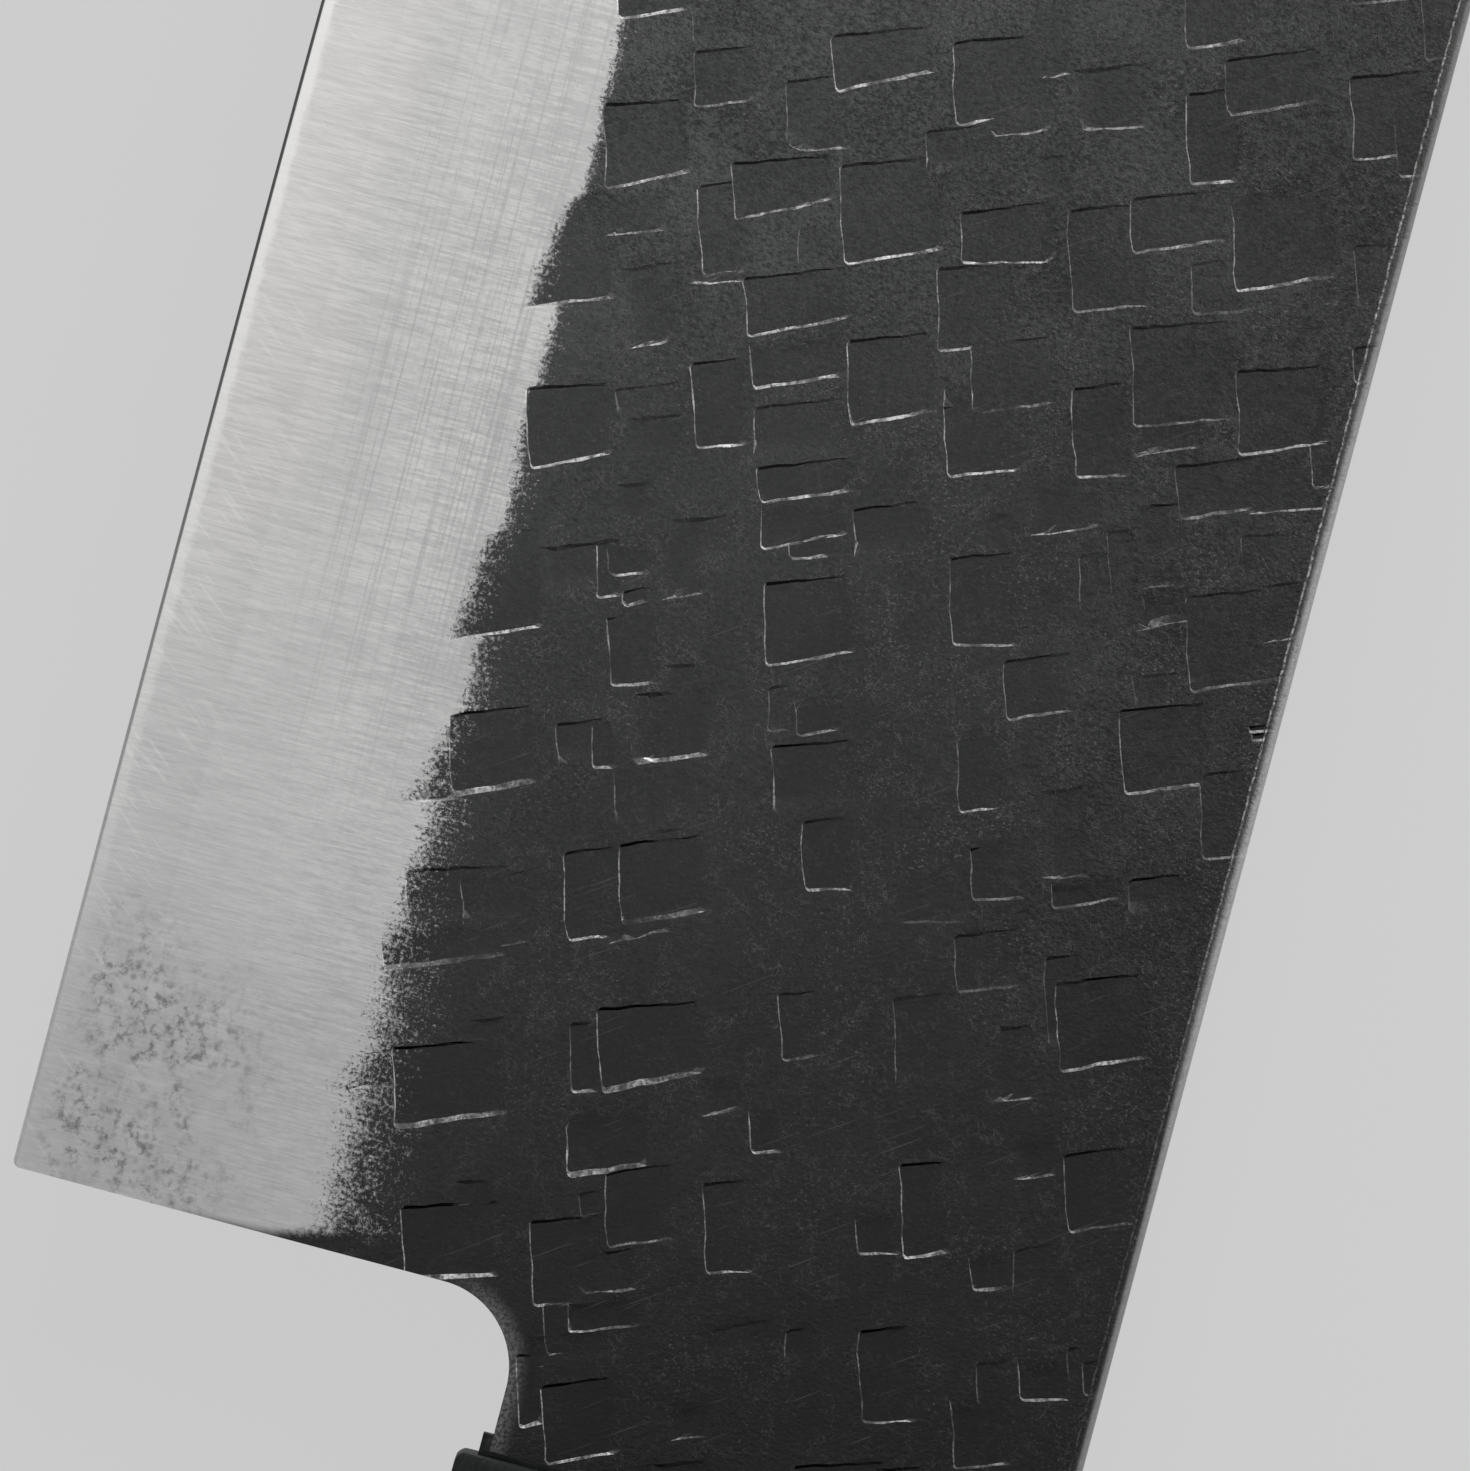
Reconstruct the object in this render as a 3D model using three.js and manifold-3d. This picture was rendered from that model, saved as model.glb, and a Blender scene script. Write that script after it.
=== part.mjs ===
// A santoku kitchen knife: a three-layer forged blade with a hidden tang, set in an octagonal
// wooden handle with a horn ferrule. It lies on its side, on the handle's lower flat.
// +X runs to the tip, +Y to the cutting edge and +Z to the blade's left face. Millimetres.
import * as THREE from "three";
import { mergeVertices } from "three/addons/utils/BufferGeometryUtils.js";
import Module from "manifold-3d";

const wasm = await Module();
wasm.setup();

// Blade outline. X is counted from the ferrule's front face, Y from the straight spine.
const BLADE_LENGTH = 165; // heel to tip
const HEEL_HEIGHT = 45.32; // spine to the edge at the heel
const HEEL_GAP = 6.45; // ferrule's front to the heel
const NECK_HEIGHT = 23.55; // spine to the neck's underside
const HEEL_FILLET = 3.55; // radius between the neck's underside and the heel
const EDGE_FLAT_FROM_HEEL = 34; // heel to the edge's lowest place
const HEEL_RELIEF = 0.04; // how far the edge is drawn in at the heel
const TIP_RISE = 12.4; // how far the edge rises at the tip
const TIP_RISE_POWER = 2.6;
const SPINE_STRAIGHT = 92; // heel to where the spine begins to drop
const SPINE_DROP_POWER = 2.3;
const TIP_NOSE = 0.9; // height of the blunt nose at the tip

// Blade thickness
const SPINE_THICKNESS = 3.6; // at the ferrule
const TIP_TAPER = 1.4; // thickness lost from the ferrule to the tip
const FACE_TAPER = 1.1; // thickness lost from the spine to the heel's level
const BEVEL_WIDTH_HEEL = 12.9;
const BEVEL_WIDTH_TIP = 10;
const EDGE_LAND = 0.12; // thickness left at the cutting edge
const SPINE_ROUND = 0.6; // radius of the spine's corners
const CORE_THICKNESS_TANG = 1; // at the end of the tang
const CORE_THICKNESS_TIP = 0.5;
const WELD_GAP = 0.01; // between the core and each cladding

// Tang
const TANG_LENGTH = 92;
const TANG_HEIGHT_FRONT = 12;
const TANG_HEIGHT_END = 8;
const TANG_THICKNESS_FRONT = 3;
const TANG_THICKNESS_END = 2.4;
const TANG_ROOT = 2; // how far the tang's own solid reaches into the neck

// Handle
const HANDLE_LENGTH = 130; // ferrule's front to the butt
const HANDLE_THICKNESS = 21; // between the two side flats
const FERRULE_LENGTH = 28;
const FERRULE_OVERHANG = 1.27; // how far the ferrule stands past the neck, above and below
const FERRULE_SWELL = 0.7; // height gained along the ferrule
const BODY_SWELL = 2.2; // height gained along the wooden body
const FACET_RISE = 6; // part of the height that each slanted facet takes
const FACET_RUN = 6; // part of the thickness that each slanted facet takes
const FERRULE_EDGE = 0.25; // chamfer round the ferrule's front
const BUTT_EDGE = 1.2; // chamfer round the butt

// Dowel
const DOWEL_DIAMETER = 14;
const DOWEL_SIDES = 32;
const DOWEL_HEEL = 8; // solid wood behind the slot
const FERRULE_FRONT_WALL = 5; // horn in front of the dowel
const DOWEL_CLEARANCE = 0.15; // glue line round the dowel
const TANG_CLEARANCE = 0.2; // glue line round the tang
const TANG_END_GAP = 1.5; // between the tang's end and the end of its slot

// Seal at the ferrule's front
const SEAL_LIP = 0.9; // how far the lips stand out at the spine and at the underside
const SEAL_LIP_WALL = 0.4;
const SEAL_FACE_HEIGHT = 0.25; // how far it stands out beside the blade's faces
const SEAL_FACE_WALL = 0.3;
const SEAL_CLEARANCE = 0.02;

// Steps of the curves, and how far the cutting tools overshoot what they cut
const STEPS_STRAIGHT = 10;
const STEPS_CURVED = 26;
const ROUND_STEPS = 3;
const FILLET_STEPS = 12;
const OVERSHOOT = 5;

const heelX = HEEL_GAP;
const tipX = HEEL_GAP + BLADE_LENGTH;
const edgeFlatX = heelX + EDGE_FLAT_FROM_HEEL;
const spineDropX = heelX + SPINE_STRAIGHT;
const handleY = NECK_HEIGHT / 2;
const ferruleHeight = NECK_HEIGHT + 2 * FERRULE_OVERHANG;
const jointHeight = ferruleHeight + FERRULE_SWELL;
const buttHeight = jointHeight + BODY_SWELL;
const slotLength = TANG_LENGTH + TANG_END_GAP;
const dowelEndX = -(slotLength + DOWEL_HEEL);
const slotWidth = TANG_THICKNESS_FRONT + 2 * TANG_CLEARANCE;
const slotHeight = TANG_HEIGHT_FRONT + 2 * TANG_CLEARANCE;

// The edge's lowest line, from which the heel's relief and the tip's rise are counted
const edgeBase = HEEL_HEIGHT + HEEL_RELIEF;
const tipEdgeY = edgeBase - TIP_RISE;
const spineDrop = tipEdgeY - TIP_NOSE;

// A closed geometry as a solid that can be joined and cut
function solid(geometry) {
  const bare = geometry.clone();
  bare.deleteAttribute("normal");
  bare.deleteAttribute("uv");
  const merged = mergeVertices(bare, 1e-4);
  return new wasm.Manifold(
    new wasm.Mesh({
      numProp: 3,
      vertProperties: new Float32Array(merged.attributes.position.array),
      triVerts: new Uint32Array(merged.index.array),
    }),
  );
}

// A solid as a geometry with flat faces
function geometryOf(body) {
  const mesh = body.getMesh();
  const geometry = new THREE.BufferGeometry();
  geometry.setAttribute("position", new THREE.BufferAttribute(mesh.vertProperties, mesh.numProp));
  geometry.setIndex(new THREE.BufferAttribute(mesh.triVerts, 1));
  const flat = geometry.toNonIndexed();
  flat.computeVertexNormals();
  return flat;
}

// A closed skin over sections of equal point counts, ordered along X. Each section is a convex
// list of [y, z] that runs from +Y towards +Z.
function loft(sections) {
  const count = sections[0].points.length;
  const positions = [];
  const index = [];
  for (const { x, points } of sections) {
    for (const [y, z] of points) positions.push(x, y, z);
  }
  for (let s = 0; s + 1 < sections.length; s++) {
    for (let i = 0; i < count; i++) {
      const a = s * count + i;
      const b = s * count + ((i + 1) % count);
      index.push(a, b, a + count, b, b + count, a + count);
    }
  }
  const last = (sections.length - 1) * count;
  for (let i = 1; i + 1 < count; i++) {
    index.push(0, i + 1, i);
    index.push(last, last + i, last + i + 1);
  }
  const geometry = new THREE.BufferGeometry();
  geometry.setAttribute("position", new THREE.Float32BufferAttribute(positions, 3));
  geometry.setIndex(index);
  return geometry;
}

// A block between two places along X, whose half height and half thickness may differ at its ends
function block(fromX, toX, centreY, halfHeights, halfThicknesses) {
  const ends = [fromX, toX].map((x, end) => {
    const h = halfHeights[end];
    const t = halfThicknesses[end];
    const points = [
      [centreY + h, -t],
      [centreY + h, t],
      [centreY - h, t],
      [centreY - h, -t],
    ];
    return { x, points };
  });
  return solid(loft(ends));
}

function spineY(x) {
  const along = Math.max(0, (x - spineDropX) / (tipX - spineDropX));
  return spineDrop * along ** SPINE_DROP_POWER;
}

function edgeY(x) {
  if (x < edgeFlatX) return edgeBase - HEEL_RELIEF * ((edgeFlatX - x) / EDGE_FLAT_FROM_HEEL) ** 2;
  return edgeBase - TIP_RISE * ((x - edgeFlatX) / (tipX - edgeFlatX)) ** TIP_RISE_POWER;
}

function bevelWidth(x) {
  const along = (x - heelX) / BLADE_LENGTH;
  return BEVEL_WIDTH_HEEL + along * (BEVEL_WIDTH_TIP - BEVEL_WIDTH_HEEL);
}

// Half the thickness between the two flat faces, before the bevels are ground
function faceHalf(x, y) {
  const thickness = SPINE_THICKNESS - (TIP_TAPER * x) / tipX - (FACE_TAPER * y) / HEEL_HEIGHT;
  return thickness / 2;
}

// Half the thickness with the bevels
function bladeHalf(x, y) {
  const width = bevelWidth(x);
  const shoulder = faceHalf(x, edgeY(x) - width);
  const slope = (shoulder - EDGE_LAND / 2) / width;
  return Math.min(faceHalf(x, y), EDGE_LAND / 2 + slope * (edgeY(x) - y));
}

function coreHalf(x) {
  const along = (x + TANG_LENGTH) / (tipX + TANG_LENGTH);
  return (CORE_THICKNESS_TANG + along * (CORE_THICKNESS_TIP - CORE_THICKNESS_TANG)) / 2;
}

// One side of a blade section, from the edge to the middle of the spine
function bladeSide(x) {
  const spine = spineY(x);
  const edge = edgeY(x);
  const round = Math.min(SPINE_ROUND, bladeHalf(x, spine) / 2, (edge - spine) / 4);
  const shoulder = Math.max(edge - bevelWidth(x), spine + 2 * round);
  const points = [
    [edge, EDGE_LAND / 2],
    [shoulder, bladeHalf(x, shoulder)],
  ];
  const top = bladeHalf(x, spine + round);
  for (let i = 0; i <= ROUND_STEPS; i++) {
    const angle = ((Math.PI / 2) * i) / ROUND_STEPS;
    points.push([spine + round * (1 - Math.sin(angle)), top - round * (1 - Math.cos(angle))]);
  }
  return points;
}

function bladeSection(x) {
  const left = bladeSide(x);
  const right = left.map(([y, z]) => [y, -z]).reverse();
  return { x, points: [...left, ...right] };
}

// Stations along the blade: even to where the spine drops, then closer towards the tip
function bladeStations() {
  const stations = [];
  for (let i = 0; i < STEPS_STRAIGHT; i++) stations.push((spineDropX * i) / STEPS_STRAIGHT);
  for (let i = 0; i <= STEPS_CURVED; i++) {
    const along = Math.sin(((Math.PI / 2) * i) / STEPS_CURVED);
    stations.push(spineDropX + along * (tipX - spineDropX));
  }
  return stations;
}

// What is cut away between the heel and the handle
function heelNotch() {
  const low = edgeBase + OVERSHOOT;
  const shape = new THREE.Shape();
  shape.moveTo(-OVERSHOOT, NECK_HEIGHT);
  shape.lineTo(heelX - HEEL_FILLET, NECK_HEIGHT);
  shape.absarc(heelX - HEEL_FILLET, NECK_HEIGHT + HEEL_FILLET, HEEL_FILLET, -Math.PI / 2, 0);
  shape.lineTo(heelX, low);
  shape.lineTo(-OVERSHOOT, low);
  const geometry = new THREE.ExtrudeGeometry(shape, {
    depth: 2 * SPINE_THICKNESS,
    bevelEnabled: false,
    curveSegments: FILLET_STEPS,
  });
  geometry.translate(0, 0, -SPINE_THICKNESS);
  return solid(geometry);
}

function bladeBlank() {
  const blade = solid(loft(bladeStations().map(bladeSection))).subtract(heelNotch());
  const tang = block(
    -TANG_LENGTH,
    TANG_ROOT,
    handleY,
    [TANG_HEIGHT_END / 2, TANG_HEIGHT_FRONT / 2],
    [TANG_THICKNESS_END / 2, TANG_THICKNESS_FRONT / 2],
  );
  return blade.add(tang);
}

// The blank's layer between two heights, each given as a function of x
function layer(blank, lowAt, highAt) {
  const nearY = -OVERSHOOT;
  const farY = edgeBase + OVERSHOOT;
  const ends = [-TANG_LENGTH - OVERSHOOT, tipX + OVERSHOOT].map((x) => {
    const points = [
      [farY, lowAt(x)],
      [farY, highAt(x)],
      [nearY, highAt(x)],
      [nearY, lowAt(x)],
    ];
    return { x, points };
  });
  return blank.intersect(solid(loft(ends)));
}

// An octagon of the handle, its height shared between two slanted facets and an upright one
function octagon(x, height, inset) {
  const h = height / 2 - inset;
  const t = HANDLE_THICKNESS / 2 - inset;
  const flatH = height / 2 - FACET_RISE;
  const flatT = HANDLE_THICKNESS / 2 - FACET_RUN;
  const quarter = [
    [h, flatT],
    [flatH, t],
  ];
  const upper = [...quarter, ...quarter.map(([y, z]) => [-y, z]).reverse()];
  const all = [...upper, ...upper.map(([y, z]) => [y, -z]).reverse()];
  return { x, points: all.map(([y, z]) => [y + handleY, z]) };
}

function dowelRod(fromX, toX, diameter) {
  const rod = new THREE.CylinderGeometry(diameter / 2, diameter / 2, toX - fromX, DOWEL_SIDES);
  rod.rotateZ(-Math.PI / 2);
  rod.translate((fromX + toX) / 2, handleY, 0);
  return solid(rod);
}

const boreDiameter = DOWEL_DIAMETER + 2 * DOWEL_CLEARANCE;

function ferrule() {
  const outside = loft([
    octagon(-FERRULE_LENGTH, jointHeight, 0),
    octagon(-FERRULE_EDGE, ferruleHeight, 0),
    octagon(0, ferruleHeight, FERRULE_EDGE),
  ]);
  const bore = dowelRod(-FERRULE_LENGTH - OVERSHOOT, -FERRULE_FRONT_WALL, boreDiameter);
  const mouth = block(
    -FERRULE_FRONT_WALL - OVERSHOOT,
    OVERSHOOT,
    handleY,
    [slotHeight / 2, slotHeight / 2],
    [slotWidth / 2, slotWidth / 2],
  );
  return solid(outside).subtract(bore).subtract(mouth);
}

function handleBody() {
  const outside = loft([
    octagon(-HANDLE_LENGTH, buttHeight, BUTT_EDGE),
    octagon(-HANDLE_LENGTH + BUTT_EDGE, buttHeight, 0),
    octagon(-FERRULE_LENGTH, jointHeight, 0),
  ]);
  return solid(outside).subtract(dowelRod(dowelEndX, -FERRULE_LENGTH + OVERSHOOT, boreDiameter));
}

function dowel() {
  const slot = block(
    -slotLength,
    OVERSHOOT,
    handleY,
    [DOWEL_DIAMETER, DOWEL_DIAMETER],
    [slotWidth / 2, slotWidth / 2],
  );
  return dowelRod(dowelEndX, -FERRULE_FRONT_WALL, DOWEL_DIAMETER).subtract(slot);
}

// A thin frame round the neck, with a higher lip at the spine and another at the underside
function tangSeal() {
  const face = faceHalf(0, 0) + SEAL_CLEARANCE;
  const outerHalf = NECK_HEIGHT / 2 + SEAL_CLEARANCE + SEAL_LIP_WALL;
  const outerThick = face + SEAL_FACE_WALL;
  const frame = block(
    0,
    SEAL_FACE_HEIGHT,
    handleY,
    [outerHalf, outerHalf],
    [outerThick, outerThick],
  );
  const lips = block(0, SEAL_LIP, handleY, [outerHalf, outerHalf], [face, face]);
  const under = faceHalf(0, NECK_HEIGHT) + SEAL_CLEARANCE;
  const neck = [-OVERSHOOT, OVERSHOOT].map((x) => {
    const points = [
      [NECK_HEIGHT + SEAL_CLEARANCE, -under],
      [NECK_HEIGHT + SEAL_CLEARANCE, under],
      [-SEAL_CLEARANCE, face],
      [-SEAL_CLEARANCE, -face],
    ];
    return { x, points };
  });
  const sides = block(
    SEAL_FACE_HEIGHT,
    SEAL_LIP + OVERSHOOT,
    handleY,
    [NECK_HEIGHT / 2, NECK_HEIGHT / 2],
    [outerThick, outerThick],
  );
  return frame.add(lips.subtract(sides)).subtract(solid(loft(neck)));
}

function finish(color, roughness, metalness) {
  return new THREE.MeshStandardMaterial({ color, roughness, metalness });
}

const forgeScale = finish(0x35383a, 0.6, 0.6);
const blank = bladeBlank();
const above = SPINE_THICKNESS;
const pieces = {
  core_steel: [
    layer(blank, (x) => -coreHalf(x), coreHalf),
    finish(0xc9c8c6, 0.35, 1),
  ],
  left_cladding: [
    layer(blank, (x) => coreHalf(x) + WELD_GAP, () => above),
    forgeScale,
  ],
  right_cladding: [
    layer(blank, () => -above, (x) => -coreHalf(x) - WELD_GAP),
    forgeScale.clone(),
  ],
  tang_seal: [tangSeal(), finish(0x111213, 0.5, 0)],
  ferrule: [ferrule(), finish(0x17191a, 0.35, 0)],
  handle_body: [handleBody(), finish(0x5a3a22, 0.55, 0)],
  dowel: [dowel(), finish(0xc9a878, 0.7, 0)],
};

const knife = new THREE.Group();
for (const [name, [body, material]] of Object.entries(pieces)) {
  const mesh = new THREE.Mesh(geometryOf(body), material);
  mesh.name = name;
  knife.add(mesh);
}

// The origin is under the middle of the knife's box, on the surface that the handle lies on.
const box = new THREE.Box3().setFromObject(knife);
const middle = box.getCenter(new THREE.Vector3());
knife.position.set(-middle.x, -middle.y, -box.min.z);

const part = new THREE.Group();
part.add(knife);

export default part;
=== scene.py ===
"""Looks of a santoku knife: a hammered, scale-black forged blade with a bright ground bevel, set in
an octagonal wooden handle with a horn ferrule. Lengths are in millimetres until a mesh is written."""
import math
import random

import bmesh
import bpy
import numpy as np
from mathutils import Matrix, Vector
from mathutils.geometry import delaunay_2d_cdt


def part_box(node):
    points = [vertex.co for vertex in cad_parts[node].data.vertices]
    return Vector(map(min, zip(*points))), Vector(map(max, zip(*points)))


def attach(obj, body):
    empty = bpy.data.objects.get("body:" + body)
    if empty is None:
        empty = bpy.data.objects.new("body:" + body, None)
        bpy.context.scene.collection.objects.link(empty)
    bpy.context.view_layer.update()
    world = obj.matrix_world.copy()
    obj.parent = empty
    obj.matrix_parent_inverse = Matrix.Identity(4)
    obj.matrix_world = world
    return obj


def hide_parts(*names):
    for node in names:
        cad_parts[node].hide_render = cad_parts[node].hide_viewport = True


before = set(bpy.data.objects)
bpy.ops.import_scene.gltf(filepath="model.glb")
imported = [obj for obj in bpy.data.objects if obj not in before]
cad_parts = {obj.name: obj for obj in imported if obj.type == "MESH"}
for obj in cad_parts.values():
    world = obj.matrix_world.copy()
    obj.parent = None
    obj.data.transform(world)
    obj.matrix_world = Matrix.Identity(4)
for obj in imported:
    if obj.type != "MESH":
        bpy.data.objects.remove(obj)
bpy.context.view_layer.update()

MM = 0.001

# Blade, as the solids have it. X is counted from the ferrule's front, Y from the straight spine.
HEEL_X = 6.45
TIP_X = 171.45
HEEL_HEIGHT = 45.32
NECK_HEIGHT = 23.55
HEEL_FILLET = 3.55
EDGE_FLAT_X = 40.45
HEEL_RELIEF = 0.04
EDGE_BASE = HEEL_HEIGHT + HEEL_RELIEF
TIP_RISE = 12.4
TIP_RISE_POWER = 2.6
SPINE_DROP_X = 98.45
SPINE_DROP_POWER = 2.3
TIP_NOSE = 0.9
SPINE_DROP = EDGE_BASE - TIP_RISE - TIP_NOSE
SPINE_THICKNESS = 3.6
TIP_TAPER = 1.4
FACE_TAPER = 1.1
BEVEL_WIDTH_HEEL = 12.9
BEVEL_WIDTH_TIP = 10.0
EDGE_LAND = 0.12
SPINE_ROUND = 0.6
CORE_TANG = 1.0
CORE_TIP = 0.5
WELD_GAP = 0.01
TANG_LENGTH = 92.0
TANG_HEIGHT = (12.0, 8.0)
TANG_THICKNESS = (3.0, 2.4)
HANDLE_Y = NECK_HEIGHT / 2

# Finer shapes that only the looks have
SPINE_STEPS = 12
SIDE_STEP = 0.6
FILLET_STEPS = 24
CORNER_STEPS = 8
HEEL_CORNER = 0.3
FILL_STEP = 0.55
FILL_ROOM = 0.1
CORE_FILL_STEP = 3.0
CORE_FILL_ROOM = 1.0
THIN_SKIN = 0.004
TANG_STEP = 0.05
CUTTING_FACET = 0.55
CUTTING_LINE = 0.16
CUTTING_LAND = 0.01
CUTTING_SHARE = 0.55
PATH_START = 0.05
PATH_END_ROOM = 2.0
EDGE_END_ROOM = 0.5
WELD_ROOM = 1.0
END_SEARCH_STEPS = 4000
HEEL_LINE_ROOM = 0.001
WHOLE_HULL = 0
MERGE_WITHIN = 1e-6
FLOOR_MERGE_WITHIN = 1e-9

# Angles in degrees above which neighbouring faces meet in a sharp edge
CLADDING_SHARP = 8
CORE_SHARP = 6
HANDLE_SHARP = 25

# The photograph's view: the frame's size, the point of the blade at its middle, and its turn
IMAGE_WIDTH_PX = 1470
IMAGE_HEIGHT_PX = 1471
PX_PER_MM = 24.5
VIEW_SCALE = 1.002
VIEW_CENTRE = (30.95, 21.36)
VIEW_TURN = math.radians(14.87)
VIEW_SINE, VIEW_COSINE = math.sin(VIEW_TURN), math.cos(VIEW_TURN)
VIEW_WIDTH = IMAGE_WIDTH_PX / PX_PER_MM
VIEW_HEIGHT = IMAGE_HEIGHT_PX / PX_PER_MM
CAMERA_DISTANCE = 1400.0
CAMERA_CLIP_M = (0.01, 50)
SENSOR = 36.0

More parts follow.
